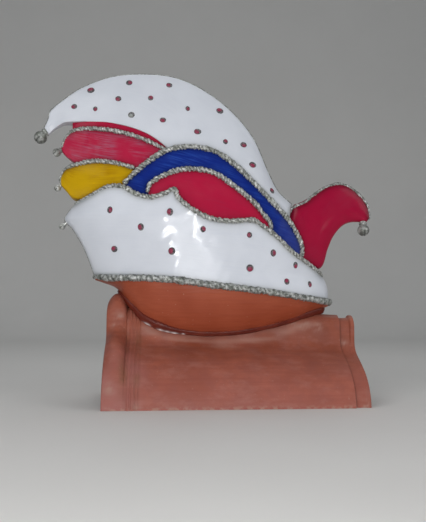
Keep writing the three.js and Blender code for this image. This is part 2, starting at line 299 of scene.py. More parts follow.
def new_finish(name, specular=0.25, coat=0.0):
    """A fresh material: its node tree and its Principled shader. specular is the strength of
    the body's own reflection, and coat is that of a thin, much smoother clear layer on top."""
    material = bpy.data.materials.new(name)
    material.use_nodes = True
    tree = material.node_tree
    shader = tree.nodes["Principled BSDF"]
    shader.inputs["Specular IOR Level"].default_value = specular
    shader.inputs["Coat Weight"].default_value = coat
    shader.inputs["Coat Roughness"].default_value = COAT_ROUGHNESS
    return material, tree, shader


def wire(tree, shader, colour, roughness, height, depth, strength):
    """Joins colour, roughness and a height map, whose depth is in metres, to the shader."""
    tree.links.new(colour, shader.inputs["Base Color"])
    tree.links.new(roughness, shader.inputs["Roughness"])
    bump = add(tree, "Bump", Height=height, Distance=depth, Strength=strength)
    tree.links.new(bump, shader.inputs["Normal"])


# %% [markdown]
# ## The tile's section
#
# Across the ridge the tile has a rounded crest, a nearly upright flank, a hollow and then a
# wing that bends down to the table. The section is an arc, a line, a quadratic and a cubic
# curve, one after the other. The collar uses the same four curves, only larger, so that the
# two sections can be mixed point by point.

# %% Sections of the tile
TILE_LENGTH, TILE_HALF_WIDTH = 380, 110
WALL, COLLAR_WALL, COLLAR_WIDTH = 13, 16, 31
SPIGOT_LENGTH, SPIGOT_STEP, SPIGOT_RIM = 23, 5, 8
RIB_PITCH, RIB_COUNT, RIB_HEIGHT = 6, 3, 1.3
TAPER_SHARE, COLLAR_EDGE_SHARE = 0.36, 0.44
COLLAR_POWERS = (0.75, 0.6)


def half_section(top, radius, flank_foot, wing_start):
    """Half the outer section as (y, z) from the crest to the lower edge."""
    turn = np.linspace(0, np.pi / 2, 18, endpoint=False)
    arc = np.stack([radius * np.sin(turn), top - radius + radius * np.cos(turn)], -1)

    def bend(count, *points):
        """A curve pulled by its middle points: neighbours are mixed by w until one is left."""
        w = np.linspace(0, 1, count, endpoint=False)[:, None]
        level = [np.asarray(p, float)[None] for p in points]
        while len(level) > 1:
            level = [lerp(a, b, w) for a, b in zip(level, level[1:])]
        return level[0]

    x, z = wing_start
    flank = radius + 2
    line = bend(6, (radius, top - radius), (flank, flank_foot))
    hollow = bend(12, (flank, flank_foot), (flank + 1, flank_foot - 12), (x, z))
    wing = bend(33, (x, z), (x + 34, z - 17), (104, 42), (TILE_HALF_WIDTH, 0))
    return np.vstack([arc, line, hollow, wing, [[TILE_HALF_WIDTH, 0]]])


BODY_SECTION = half_section(129, 21, 90, (40, 71))
COLLAR_SECTION = half_section(162, 28, 120, (50, 100))
print("The tile's half section has", len(BODY_SECTION), "points")

# %% [markdown]
# ## Along the tile
#
# From left to right the tile has a bulging collar, three fine ribs, a body that tapers a
# little, and a spigot that steps down and ends in a low rim. Each of these is a number that
# changes with x: how much of the collar's section is mixed in, how far the skin is raised, and
# how thick the wall is. They are worked out for all stations at once.

# %% Stations along the tile
LEFT, RIGHT = -TILE_LENGTH / 2, TILE_LENGTH / 2
COLLAR_END = LEFT + COLLAR_WIDTH
RIBS_END = COLLAR_END + (RIB_COUNT + 0.6) * RIB_PITCH
STEP_AT = RIGHT - SPIGOT_LENGTH


def collar_share(x):
    """How much of the collar's section is in the section at x: a bulge over the collar, and a
    straight taper after it that ends at the spigot's step. The bulge is 1 - u squared to a
    power that is a little smaller, and so fuller, on the side of the ribs."""
    across = np.clip((x - LEFT) / COLLAR_WIDTH * 2 - 1, -1, 1)
    taper = TAPER_SHARE * np.clip(STEP_AT - x, 0, STEP_AT - COLLAR_END) / (STEP_AT - RIBS_END)
    low = np.where(across < 0, COLLAR_EDGE_SHARE, taper.max())
    bulge = (1 - across**2) ** np.where(across < 0, *COLLAR_POWERS)
    return np.where(x < COLLAR_END, lerp(low, 1, bulge), taper)


def rib_wave(x):
    """0 between the ribs and 1 on them: a squared sine over the ribbed stretch."""
    inside = (x > COLLAR_END + RIB_PITCH / 2) & (x < RIBS_END)
    return np.where(inside, np.sin(np.pi * (x - COLLAR_END - RIB_PITCH / 2) / RIB_PITCH) ** 2, 0)


def skin_raise(x):
    """How far the skin stands out, as stations by section points: the ribs, then the spigot's
    step down and its rim, which is plain on the crest and nearly pressed flat on the wings."""
    along = np.linspace(0, 1, len(BODY_SECTION))[None]
    down = -SPIGOT_STEP * smooth_step(STEP_AT - 0.2, STEP_AT + 1.0, x)[:, None]
    rim = (SPIGOT_STEP - 1) * smooth_step(RIGHT - SPIGOT_RIM, RIGHT - SPIGOT_RIM + 2.5, x)[:, None]
    return RIB_HEIGHT * rib_wave(x)[:, None] + down + rim * lerp(1, 0.15, smooth_step(0.2, 0.45, along))


def section_at(x, offset):
    """Half sections as (x, y, z), moved along their normals by an offset for each point."""
    share = collar_share(x)[:, None, None]
    mixed = lerp(BODY_SECTION[None], COLLAR_SECTION[None], share)
    along = np.gradient(mixed, axis=1)
    along = along / np.linalg.norm(along, axis=-1, keepdims=True)
    along[:, 0] = (1, 0)
    normal = np.stack([-along[..., 1], along[..., 0]], -1)
    moved = mixed + normal * offset[..., None]
    moved[:, -1] = mixed[:, -1] + np.stack([offset[:, -1], offset[:, -1] * 0], -1)
    moved[..., 0] = np.maximum(moved[..., 0], 0)
    moved[:, 0, 0] = 0
    moved[..., 1] = np.maximum(moved[..., 1], 0)
    return np.concatenate([np.broadcast_to(x[:, None, None], (*mixed.shape[:2], 1)), moved], -1)


# %% [markdown]
# ## Skin of the tile
#
# The ring of one station runs over the outer skin from one edge to the other and back along
# the inner skin. At both ends the wall closes over a small rounding, since a pressed edge is
# never knife-sharp. The skin itself is a little wavy from the press.

# %% The tile as one closed surface
END_ROUNDING = 1.6


def tile_stations():
    """x of the stations, dense at the ends, ribs and step, and where the wall closes."""
    rounding = END_ROUNDING * (1 - np.cos(np.linspace(0, np.pi / 2, 6)[1:-1]))
    ribs = np.linspace(COLLAR_END - 1, RIBS_END + 1, 90)
    step = np.linspace(STEP_AT - 2, STEP_AT + 19, 50)
    inside = np.linspace(LEFT + END_ROUNDING, RIGHT - END_ROUNDING, 180)
    x = np.unique(np.concatenate([LEFT + rounding, inside, ribs, step, RIGHT - rounding]))
    x = np.concatenate([[LEFT, LEFT], x, [RIGHT, RIGHT]])
    edge = np.minimum(x - LEFT, RIGHT - x)
    inset = END_ROUNDING * (1 - np.sqrt(1 - np.clip(1 - edge / END_ROUNDING, 0, 1) ** 2))
    closed = np.zeros(len(x), bool)
    closed[[0, -1]] = True
    return x, inset, closed


def tile_ring():
    """Rings over the outer and back along the inner skin, with the marks that the clay needs."""
    x, inset, closed = tile_stations()
    raised = skin_raise(x)
    wall = lerp(COLLAR_WALL, WALL, smooth_step(COLLAR_END - 4, COLLAR_END + 2, x))[:, None] + raised
    inset, closed = inset[:, None], closed[:, None]
    outer_off = np.where(closed, raised - wall / 2, raised - inset)
    inner_off = np.where(closed, raised - wall / 2, raised - wall + inset)
    outer, inner = section_at(x, outer_off), section_at(x, inner_off)
    wave = unevenness(outer, 90, 3)[..., None] * 0.5 + unevenness(outer, 22, 4)[..., None] * 0.12
    keep_edge = smooth_step(0, 12, outer[..., 2:3]) * smooth_step(0, 6, x[:, None, None] - LEFT)
    keep_edge = keep_edge * smooth_step(0, 6, RIGHT - x[:, None, None])
    outer = outer + wave * keep_edge * [0, 0.7, 0.7]
    both = [outer[:, ::-1] * [1, -1, 1], outer[:, 1:], inner[:, ::-1], inner[:, 1:] * [1, -1, 1]]
    grid = np.concatenate(both, 1)
    grid = np.concatenate([grid, grid[:, :1]], 1)
    groove = (rib_wave(x) < 0.25) & (x > COLLAR_END - 1.5) & (x < RIBS_END + 1)
    groove = groove * 0.12 + np.exp(-(((x - STEP_AT - 1) / 1.2) ** 2)) * 0.6
    return grid, np.broadcast_to(groove[:, None], grid.shape[:2])


# %% [markdown]
# ## Where the cap sits
#
# A rope runs round the cap like the rail of a boat. Below it the foot narrows down to the
# tile's crest. Both follow a plan that is pointed at both ends. The heights of the rope and of
# the foot's lower edge are smooth curves over x, which sag and dip as the hand laid them. The
# seat is half the width of that lower edge, where the foot meets the flanks of the crest. The
# tile's finish needs them too, because a pale haze runs just below the joint.

# %% Plans and heights of the rope and the foot
ROPE_PLAN = {"middle": -28, "reach": 182, "power": 0.58, "half": 66}
ROPE_FRONT, ROPE_BACK = (-210, 187.6), (154, 148.6)
ROPE_POINTS = [ROPE_FRONT, (-184, 185), (-154, 184.8), (-124, 184), (-81, 180.8), (-44, 175.5)]
ROPE_POINTS += [(7, 169.3), (52, 164), (99, 156.6), (130, 152), ROPE_BACK]
EDGE_POINTS = [(-214, 184), (-196, 178), (-177, 170), (-158, 150.5), (-146, 138.5), (-131, 124)]
EDGE_POINTS += [(-102, 111), (-65, 104), (-27, 102), (11, 104.6), (49, 111.2), (88, 121)]
EDGE_POINTS += [(121, 132.5), (140, 137.5), (158, 144)]
SEAT_POINTS = [(-171, 0), (-163, 11), (-146, 20), (-120, 25.5), (-60, 27), (10, 26.5), (72, 24.5)]
SEAT_POINTS += [(104, 19), (123, 10), (141, 0)]


def plan_half(x, half, middle, reach, power):
    """Half the width of a pointed plan: half times (1 - u squared) to a power, where u is the
    distance from the middle over the reach."""
    u = np.clip(np.abs(x - middle) / reach, 0, 1)
    return half * (1 - u * u) ** power


def read_along(points):
    """A function that reads the second number at x from the smooth path through the points."""
    path = curve_through(points)(np.linspace(0, 1, 600))
    return lambda x: np.interp(x, path[:, 0], path[:, 1])


rope_height = read_along(ROPE_POINTS)
edge_height = read_along(EDGE_POINTS)
seat_half = read_along(SEAT_POINTS)


def tile_top(x, y):
    """Height of the tile's skin: for each x, z over y is read from that station's section."""
    x, y = np.broadcast_arrays(np.asarray(x, float), np.asarray(y, float))
    share = collar_share(np.clip(x, LEFT, RIGHT))
    low = np.interp(np.abs(y), BODY_SECTION[:, 0], BODY_SECTION[:, 1])
    high_part = np.interp(np.abs(y), COLLAR_SECTION[:, 0], COLLAR_SECTION[:, 1])
    return np.where((x < LEFT) | (x > RIGHT), -1e3, lerp(low, high_part, share))


# %% [markdown]
# ## Terracotta
#
# Pressed clay that was fired without a glaze: a dull brown red with purple in it, lighter and
# pinker towards the lower edge, where dust and lime settle. The press has drawn fine lines
# along the tile. The grooves between the ribs and the spigot's step are darker. Beside the
# collar the clay is darker, partly from dirt and partly as painted shade. A paler band runs
# along the flank below the joint. A few round spots are pale patches, and those on the collar
# and on the spigot are painted highlights.

# %% Terracotta finish
def terracotta():
    """Large patches, lengthwise drag lines and fine grain, mixed over one clay colour."""
    material, tree, shader = new_finish("terracotta", specular=0.22)
    where = place_of(tree)
    drag = add(tree, "Mapping", Vector=where, Scale=(4, 90, 90))
    lines = spread(tree, noise(tree, drag, 2.0, 3.0), 0.35, 0.68)
    patches = spread(tree, noise(tree, where, 14.0, 4.0, 0.55), 0.36, 0.66)
    mottle = spread(tree, noise(tree, where, 48.0, 4.0, 0.6), 0.42, 0.62)
    level = add(tree, "Mapping", Vector=where, Scale=(30, 55, 62))
    pale_streaks = spread(tree, noise(tree, level, 1.0, 4.0, 0.65), 0.5, 0.72)
    grain = noise(tree, where, 1400.0, 2.0)
    specks = spread(tree, noise(tree, where, 330.0, 1.0), 0.74, 0.78)
    height = tree.nodes.new("ShaderNodeSeparateXYZ")
    tree.links.new(where, height.inputs[0])
    low_part = spread(tree, height.outputs["Z"], 0.08, 0.004)
    rim = spread(tree, height.outputs["Z"], 0.006, 0.0005)
    colour = mix(tree, patches, (0.23, 0.060, 0.032), (0.352, 0.104, 0.064))
    colour = mix(tree, combine(tree, "MULTIPLY", mottle, 0.5), colour, (0.22, 0.070, 0.052))
    colour = mix(tree, combine(tree, "MULTIPLY", lines, 0.4), colour, (0.215, 0.050, 0.028))
    colour = mix(tree, combine(tree, "MULTIPLY", low_part, 0.45), colour, (0.325, 0.096, 0.074))
    dust = combine(tree, "MULTIPLY", mark_of(tree, "dust"), 0.8)
    colour = mix(tree, dust, colour, (0.32, 0.120, 0.110))
    pale = combine(tree, "MULTIPLY", pale_streaks, 0.33)
    colour = mix(tree, pale, colour, (0.38, 0.170, 0.140))
    # Darker beside the collar and the last rib: partly dirt, partly painted shade.
    stain_and_shade = combine(tree, "MULTIPLY", mark_of(tree, "stain_and_shade"), spread(tree, mottle, 0, 1, 0.35, 0.8))
    colour = mix(tree, stain_and_shade, colour, (0.19, 0.078, 0.038))
    # A paler band below the joint, with painted highlights on the collar and the spigot.
    pale_band_and_highlights = combine(tree, "MULTIPLY", mark_of(tree, "pale_band_and_highlights"), 0.48)
    colour = mix(tree, pale_band_and_highlights, colour, (0.36, 0.205, 0.165))
    # Darker in the grooves between the ribs and at the spigot's step.
    grooves = combine(tree, "MULTIPLY", mark_of(tree, "groove"), 0.8)
    colour = mix(tree, grooves, colour, (0.085, 0.027, 0.014))
    chips = combine(tree, "MULTIPLY", rim, spread(tree, noise(tree, where, 160.0, 3.0), 0.45, 0.6))
    colour = mix(tree, combine(tree, "MULTIPLY", chips, 0.55), colour, (0.38, 0.25, 0.19))
    colour = mix(tree, combine(tree, "MULTIPLY", specks, 0.3), colour, (0.42, 0.27, 0.21))
    rough = spread(tree, patches, 0.0, 1.0, 0.38, 0.58)
    relief = combine(tree, "ADD", combine(tree, "MULTIPLY", lines, 0.6), grain)
    relief = combine(tree, "ADD", relief, combine(tree, "MULTIPLY", mottle, 0.8))
    wire(tree, shader, colour, rough, relief, 0.0003, 0.55)
    return material


# The first two spots, on the collar, and the one at x 174 on the spigot are painted highlights. The
# others are pale patches.
PALE_AND_HIGHLIGHT_SPOTS = [(-174, 126, 5), (-168, 128, 4), (-170, 114, 3), (-179, 115, 3), (174, 86, 5)]
PALE_AND_HIGHLIGHT_SPOTS += [(92, 116, 7), (112, 114, 8), (132, 110, 7), (-180, 30, 8), (184, 5, 6), (-142, 5, 6)]


def tile_marks(grid, groove):
    """How dark the grooves between the ribs and at the spigot's step are, where pink dust lies on
    the collar, where it is darker beside the collar and the last rib, partly from dirt and partly
    as painted shade, and where a paler band runs along the flank some 14 mm below the bead. A few
    round spots (x, z, size) are added to that band: the first two, on the collar, and the one at
    x 174 on the spigot are painted highlights, the others pale patches."""
    x, z = grid[..., 0], grid[..., 2]
    below = (edge_height(x) - z - 16) / 6.5
    streaky = np.clip(0.4 + 1.1 * unevenness(grid * [0.45, 1, 1], 16, 9), 0, 1)
    pale_band_and_highlights = np.exp(-(below**2)) * streaky * smooth_step(-150, -125, x)
    on_collar = 1 - smooth_step(COLLAR_END + 8, COLLAR_END + 40, x) * 0.85
    dust = on_collar * smooth_step(105, 40, z) * np.clip(0.75 + 0.4 * unevenness(grid, 40, 10), 0, 1)
    # Partly dirt, partly painted shade in the step beside the collar and the last rib.
    beside_collar = np.exp(-(((x - COLLAR_END + 2) / 6) ** 2))
    stain_and_shade = beside_collar + 0.6 * np.exp(-(((x - RIBS_END + 4) / 6) ** 2))
    stain_and_shade = stain_and_shade * smooth_step(125, 95, z) * smooth_step(4, 30, z)
    stain_and_shade = stain_and_shade * np.clip(0.45 + 0.7 * unevenness(grid, 24, 11), 0, 1)
    # Painted highlights on the collar and the spigot, pale patches elsewhere.
    for spot_x, spot_z, size in PALE_AND_HIGHLIGHT_SPOTS:
        spot = np.exp(-(((x - spot_x) ** 2 + (z - spot_z) ** 2) / size**2))
        pale_band_and_highlights = pale_band_and_highlights + spot * np.clip(0.9 + 0.8 * unevenness(grid, 7, 14), 0, 1.5)
    return {"groove": groove, "pale_band_and_highlights": np.clip(pale_band_and_highlights, 0, 1.4), "dust": dust, "stain_and_shade": stain_and_shade}


tile_grid, tile_groove = tile_ring()
tile_skin = skin("tile_skin", tile_grid, marks=tile_marks(tile_grid, tile_groove))
finish_piece(tile_skin, terracotta(), "terracotta", "ridge_tile")

# %% [markdown]
# ## Foot of the cap
#
# The foot is bare clay with more orange in it than the tile. It was smoothed with a wet
# finger from front to back, which left faint level lines. Its side bows out on the way up to
# the rope. Underneath it follows the crest of the tile and sinks a little into it, so that
# no gap shows and nothing comes through the wall.

# %% The foot as one closed surface
FOOT_SINK = 5
FOOT_BOW = 1.4


def foot_grid(rows=150, side=34):
    """Rings from the centre line below, out to the lower edge, up the bowed side and back."""
    turn = np.linspace(0, np.pi, rows)
    x = ROPE_PLAN["middle"] - (ROPE_PLAN["reach"] - 0.5) * np.cos(turn)
    top = plan_half(x, **ROPE_PLAN)
    edge = np.minimum(np.clip(seat_half(x), 0.8, None), top)
    angle = np.linspace(0, np.pi / 2, side)
    out = np.sin(angle)[None] ** FOOT_BOW
    drop = np.cos(angle)[None] ** FOOT_BOW
    y = lerp(edge[:, None], top[:, None], out)
    z = lerp(rope_height(x)[:, None] + 2, edge_height(x)[:, None], drop)
    under_y = edge[:, None] * np.linspace(0, 1, 9)[None, :-1]
    under_z = np.maximum(tile_top(x[:, None], under_y) - FOOT_SINK, z[:, :1])
    ring_y = np.concatenate([under_y, y, np.zeros((rows, 1))], 1)
    ring_z = np.concatenate([under_z, z, z[:, -1:]], 1)
    near = np.stack([np.broadcast_to(x[:, None], ring_y.shape), -ring_y, ring_z], -1)
    near[..., 1] += unevenness(near, 45, 12) * 0.5 * (ring_y > 3)
    grid = np.concatenate([near, (near * [1, -1, 1])[:, ::-1][:, 1:]], 1)
    grid[[0, -1]] = grid[[0, -1]].mean(1, keepdims=True)
    return grid


def foot_clay():
    """Orange clay with level wipe lines, slightly shiny from the wet finger."""
    material, tree, shader = new_finish("foot_clay", specular=0.3)
    where = place_of(tree)
    level = add(tree, "Mapping", Vector=where, Scale=(6, 60, 130), Rotation=(0, 0.08, 0))
    wipes = spread(tree, noise(tree, level, 2.2, 3.0), 0.36, 0.66)
    patches = spread(tree, noise(tree, where, 20.0, 2.0), 0.35, 0.65)
    grain = noise(tree, where, 1500.0, 2.0)
    colour = mix(tree, patches, (0.295, 0.058, 0.024), (0.35, 0.078, 0.036))
    colour = mix(tree, combine(tree, "MULTIPLY", wipes, 0.4), colour, (0.26, 0.048, 0.020))
    flecks = spread(tree, noise(tree, where, 240.0, 1.0), 0.76, 0.79)
    colour = mix(tree, combine(tree, "MULTIPLY", flecks, 0.5), colour, (0.5, 0.3, 0.22))
    rough = spread(tree, wipes, 0.0, 1.0, 0.36, 0.5)
    fine = combine(tree, "MULTIPLY", grain, 0.5)
    relief = combine(tree, "ADD", combine(tree, "MULTIPLY", wipes, 0.8), fine)
    wire(tree, shader, colour, rough, relief, 0.0003, 0.5)
    return material


FOOT_CLAY = foot_clay()
finish_piece(skin("cap_foot", foot_grid()), FOOT_CLAY, "foot_clay", "carnival_cap")

# %% [markdown]
# ## Cords
#
# Every edge of the cap is trimmed with a twisted cord of clay, painted silver. A cord is a
# round section carried along a path. Two strands wound round each other have a section like
# two circles side by side, and that section turns as it moves along. In the narrow valley
# between the strands the silver is worn away and dirt shows, so the valley is kept as a mark.
# Towards a free end the cord may grow thinner, and the end itself is rounded.

# %% Helper that lays a cord along a path
CORD_STEP = 0.9
SWAY_LENGTHS = np.array([12, 19, 31, 60])
END_SHARE = 0.22


def resample(path, spacing):
    """Points at an even spacing in millimetres along a polyline."""
    length = np.concatenate([[0], np.cumsum(np.linalg.norm(np.diff(path, axis=0), axis=1))])
    count = max(int(length[-1] / spacing), 8)
    at = np.linspace(0, length[-1], count)
    return np.stack([np.interp(at, length, path[:, k]) for k in range(3)], -1), at


def cord_grid(
    path, radius, pitch, side, closed=False, taper=(1, 1), seed=1, around=18, depth=0.3,
    pressed=False, squash=(1, 1), lumps=1.0,
):
    """The grid of a cord: the path plus the section's radius in two directions across it.

    side is a direction that the path never runs along. The radius at an angle is the cord's
    radius times 1 - depth + depth * |cos(lean - twist)| to the power 0.8. The twist grows by a
    full turn for each pitch, and it sways, because no hand turns evenly. The lean is the angle
    itself in a twisted cord. In a pressed one it hardly changes, so that the valleys become
    slanted notches. Lumps of 9 and of 3 mm are laid over that, as strong as lumps says."""
    points, at = resample(np.asarray(path, float), CORD_STEP)
    along = np.gradient(points, axis=0)
    if closed:
        along[[0, -1]] = points[1] - points[-2]
    along /= np.linalg.norm(along, axis=1, keepdims=True)
    one = np.cross(along, side)
    one /= np.linalg.norm(one, axis=1, keepdims=True)
    other = np.cross(along, one)
    turns = np.round(at[-1] / pitch) if closed else at[-1] / pitch
    rng = np.random.default_rng(seed)
    cycles = np.round(at[-1] / SWAY_LENGTHS + 1)
    share = at / at[-1]
    sway = np.sin(2 * np.pi * share[:, None] * cycles + rng.uniform(0, 6, 4)).sum(-1)
    twist = 2 * np.pi * turns * share + 0.45 * sway
    angle = np.linspace(0, 2 * np.pi, around + 1)[None]
    lean = 0.8 * np.sin(angle) if pressed else angle
    valley = np.abs(np.cos(lean - twist[:, None])) ** 0.8
    deep = depth * (1 + 0.5 * unevenness(points, 13, seed + 1))[:, None]
    size = radius * (1 - deep + deep * valley)
    size = size * (1 + 0.13 * lumps * unevenness(points, 9, seed + 2))[:, None]
    if not closed:
        thin = lerp(taper[0], 1, smooth_step(0, END_SHARE, share))
        thin = thin * lerp(taper[1], 1, smooth_step(0, END_SHARE, 1 - share))
        near_end = np.clip(np.minimum(at, at[-1] - at) / (radius * 0.8), 0, 1)
        size = size * (thin * np.sqrt(1 - (1 - near_end) ** 2))[:, None]
    spokes = squash[0] * np.cos(angle)[..., None] * one[:, None]
    spokes = spokes + squash[1] * np.sin(angle)[..., None] * other[:, None]
    grid = points[:, None] + spokes * size[..., None]
    small = 0.12 * lumps * unevenness(grid, 3.5, seed + 3)
    grid = grid + spokes * (size * small)[..., None]
    return grid, (1 - valley) ** 1.6


def both_sides(path):
    """The path on the -Y side and its mirror image on the +Y side."""
    return path, path * [1, -1, 1]


# %% [markdown]
# ## Silver lustre
#
# The cords and bells are painted with a silver paint. It shines softly on the high places. In
# the valleys it is thin, dark and a little green. The rope and the bells are darker than the
# braids, and the bells are smoother, so the recipe takes its two colours and its relief as
# numbers.

# %% Silver finish
def silver_lustre(name, thin, full, size, relief):
    """A soft metal that turns dark where the mark says the valley is deep. thin and full are
    the colours of thin and full paint, and its blotches measure one over size in metres."""
    material, tree, shader = new_finish(name)
    where = place_of(tree)
    blotches = spread(tree, noise(tree, where, size, 3.0, 0.6), 0.4, 0.62)
    grain = noise(tree, where, 1800.0, 2.0)
    colour = mix(tree, blotches, thin, full)
    tint = spread(tree, noise(tree, where, 90.0, 2.0), 0.5, 0.7)
    colour = mix(tree, combine(tree, "MULTIPLY", tint, 0.35), colour, (0.22, 0.25, 0.20))
    deep = combine(tree, "MULTIPLY", mark_of(tree, "groove"), 0.9)
    colour = mix(tree, deep, colour, (0.045, 0.05, 0.045))
    rough = spread(tree, blotches, 0.0, 1.0, 0.5, 0.3)
    shader.inputs["Metallic"].default_value = 0.4
    wire(tree, shader, colour, rough, combine(tree, "ADD", grain, blotches), relief, 0.7)
    return material


SILVER = silver_lustre("silver_lustre", (0.21, 0.215, 0.195), (0.64, 0.65, 0.63), 230.0, 0.0005)
ROPE_SILVER = silver_lustre("rope_silver", (0.15, 0.158, 0.142), (0.54, 0.55, 0.54), 230.0, 0.0005)
BELL_SILVER = silver_lustre("bell_silver", (0.16, 0.165, 0.15), (0.58, 0.59, 0.57), 130.0, 0.0001)

# %% [markdown]
# ## Rope round the cap
#
# The thickest cord runs once round the cap, between the painted band and the bare foot. It
# was rolled by hand, so it is a little lumpy, and it was pressed on, which flattened it and
# left slanted notches. At the front tip it is only half as thick.

# %% The rope
def ring_path(middle, reach, half_at, height, count=900):
    """Once round a pointed plan, along -Y first and home along +Y.

    x is middle - reach * cos(angle), y is half_at(x) on either side, and z is height(x)."""
    angle = np.linspace(0, 2 * np.pi, count)
    x = middle - reach * np.cos(angle)
    return np.stack([x, -np.sign(np.sin(angle)) * half_at(x), height(x)], -1)


def rope_half(x):
    """The rope's plan is a millimetre wider than the foot's, so that the rope stands proud."""
    wider = {**ROPE_PLAN, "half": ROPE_PLAN["half"] + 1, "reach": ROPE_PLAN["reach"] + 1}
    return plan_half(x, **wider)


UP = np.array([0.0, 0.0, 1.0])
ACROSS = np.array([0.0, 1.0, 0.0])
ROPE_RADIUS, ROPE_PITCH = 5.2, 18
ROPE_MANNER = {"around": 24, "depth": 0.2, "pressed": True, "squash": (0.85, 1)}
rope_path = ring_path(ROPE_PLAN["middle"], ROPE_PLAN["reach"] + 1, rope_half, rope_height)
rope, rope_valley = cord_grid(
    rope_path, ROPE_RADIUS, ROPE_PITCH, UP, closed=True, seed=2, **ROPE_MANNER
)
rope_centre = rope[:, :-1].mean(1, keepdims=True)
flat_tip = 1 - 0.45 * np.exp(-(((rope_centre[..., :1] - ROPE_FRONT[0]) / 9) ** 2))
rope = rope_centre + (rope - rope_centre) * flat_tip
rope_skin = skin("cap_rope", rope, marks={"groove": rope_valley * 0.8})
finish_piece(rope_skin, ROPE_SILVER, "silver_lustre", "carnival_cap")

# %% [markdown]
# ## Bead at the joint
#
# Where the foot meets the tile a dark brown bead seals the joint. It was pressed on wet and
# smoothed. It is a cord without strands, whose radius swells and shrinks a little. Making it
# from the cord's own grid keeps the ring closed, and only its radius has to be changed.

# %% The bead and its finish
BEAD_PLAN = {"middle": -15, "reach": 156}
BEAD_RADIUS = 4.6
THICKEST_AT, THICK_OVER = -114, 30
LIP_ANGLE = 1.0
PAINTED_GLINT_DASHES = [(-125, 4), (-106, 4), (-97, 3), (-87, 5), (-74, 2)]


def hump(value, middle, width):
    """A round hump: 1 at the middle, fading to both sides over the width."""
    return np.exp(-(((value - middle) / width) ** 2))


def bead_grid():
    """A round section along the foot's lower edge. Its radius swells by fractions, and it is
    thickest behind the collar and at the back tip, where more was needed to fill the joint.
    A narrow lip stands out low on the outer side, where the wet clay was pushed down: the
    radius grows there over a narrow range of the angle and shrinks a little above it. Behind
    the collar short white dashes of painted highlight lie on the lip, returned as a mark."""
    path = ring_path(**BEAD_PLAN, half_at=seat_half, height=edge_height)
    manner = {"closed": True, "seed": 5, "depth": 0.0, "around": 36, "lumps": 0.2}
    grid, _ = cord_grid(path, BEAD_RADIUS, 400, UP, **manner)
    centre = grid[:, :-1].mean(1, keepdims=True)
    x = centre[..., :1]
    angle = np.linspace(0, 2 * np.pi, grid.shape[1])[None, :, None]
    angle = np.where(angle > np.pi, angle - 2 * np.pi, angle)
    thick = hump(x, THICKEST_AT, THICK_OVER)
    swell = 1 + 0.1 * unevenness(centre, 26, 6)[..., None]
    swell = swell + 0.85 * thick + 0.5 * smooth_step(90, 138, x)
    swell = swell + 0.15 * hump(angle, LIP_ANGLE, 0.3) - 0.08 * hump(angle, LIP_ANGLE - 0.6, 0.3)
    swell[-1] = swell[0]
    # Painted highlight: white dashes on the lip behind the collar.
    dashes = sum(hump(x, middle, width) for middle, width in PAINTED_GLINT_DASHES)
    pale = hump(angle, LIP_ANGLE, 0.22) * np.clip(dashes, 0, 1)
    return centre + thick * [0, 0, 1.2] + (grid - centre) * swell, pale[..., 0]


def bead_brown():
    """Dark brown, smooth and wet-looking, with faint ripples and white dashes of painted highlight on
    the lip.
    """
    material, tree, shader = new_finish("bead_brown", specular=0.18, coat=0.05)
    where = place_of(tree)
    blotches = spread(tree, noise(tree, where, 60.0, 3.0), 0.35, 0.65)
    colour = mix(tree, blotches, (0.090, 0.011, 0.006), (0.135, 0.020, 0.010))
    # Painted highlight: white dashes on the lip.
    colour = mix(tree, mark_of(tree, "painted_glint"), colour, (0.95, 0.93, 0.92))
    rough = spread(tree, blotches, 0.0, 1.0, 0.3, 0.42)
    ripples = noise(tree, where, 150.0, 2.0)
    wire(tree, shader, colour, rough, ripples, 0.0004, 0.3)
    return material


bead, bead_painted_glint = bead_grid()
bead_skin = skin("joint_bead_skin", bead, marks={"painted_glint": bead_painted_glint})
finish_piece(bead_skin, bead_brown(), "bead_brown", "joint_bead")

# %% [markdown]
# ## Layers of the cap
#
# The cap is built of slabs that stand behind each other: the white band outside, then a red
# and a blue leaf, two lappets at the front, the tall crest in the middle and the tail behind.
# Seen from the side each slab is spanned by four curves: a lower, an upper, a front and a back
# one. The space between them is filled with the mix of lower and upper, plus the mix of front
# and back, less the mix of the four corners, so that the face meets all four curves. The
# slab's half thickness is another function of the same two shares.

# %% Helpers for the slabs
UPPER_PLAN = {"middle": -62, "reach": 214, "power": 0.62}
CREST_PLAN = {"middle": -20, "reach": 290, "power": 1}
THINNEST_HALF = 7
LAYER_FRONT = -247


def face_point(panel, s, t):
    """Points (x, z) of a face: s runs along the slab, t from its lower to its upper curve."""
    lower, upper = panel["lower"], panel["upper"]
    corner = [lower(0), lower(1), upper(0), upper(1)]
    w, v = s[..., None], t[..., None]
    start = panel["front"](t) if "front" in panel else lerp(corner[0], corner[2], v)
    end = panel["back"](t) if "back" in panel else lerp(corner[1], corner[3], v)
    flat = lerp(lerp(corner[0], corner[1], w), lerp(corner[2], corner[3], w), v)
    return lerp(lower(s), upper(s), v) + lerp(start, end, w) - flat


def layer_half(half, narrow=0.0):
    """Half a thickness that follows the cap's upper plan and thins out with height. Where
    narrow is set, the front end runs out over that many millimetres to a blunt wedge."""
    def at(s, t, x, z):
        plan = np.maximum(plan_half(x, half, **UPPER_PLAN), THINNEST_HALF)
        wedge = 1
        if narrow:
            wedge = lerp(0.35, 1, np.sqrt(np.clip((x - LAYER_FRONT) / narrow, 0, 1)))
        return plan * (1 - (z - 250) / 800) * wedge

    return at


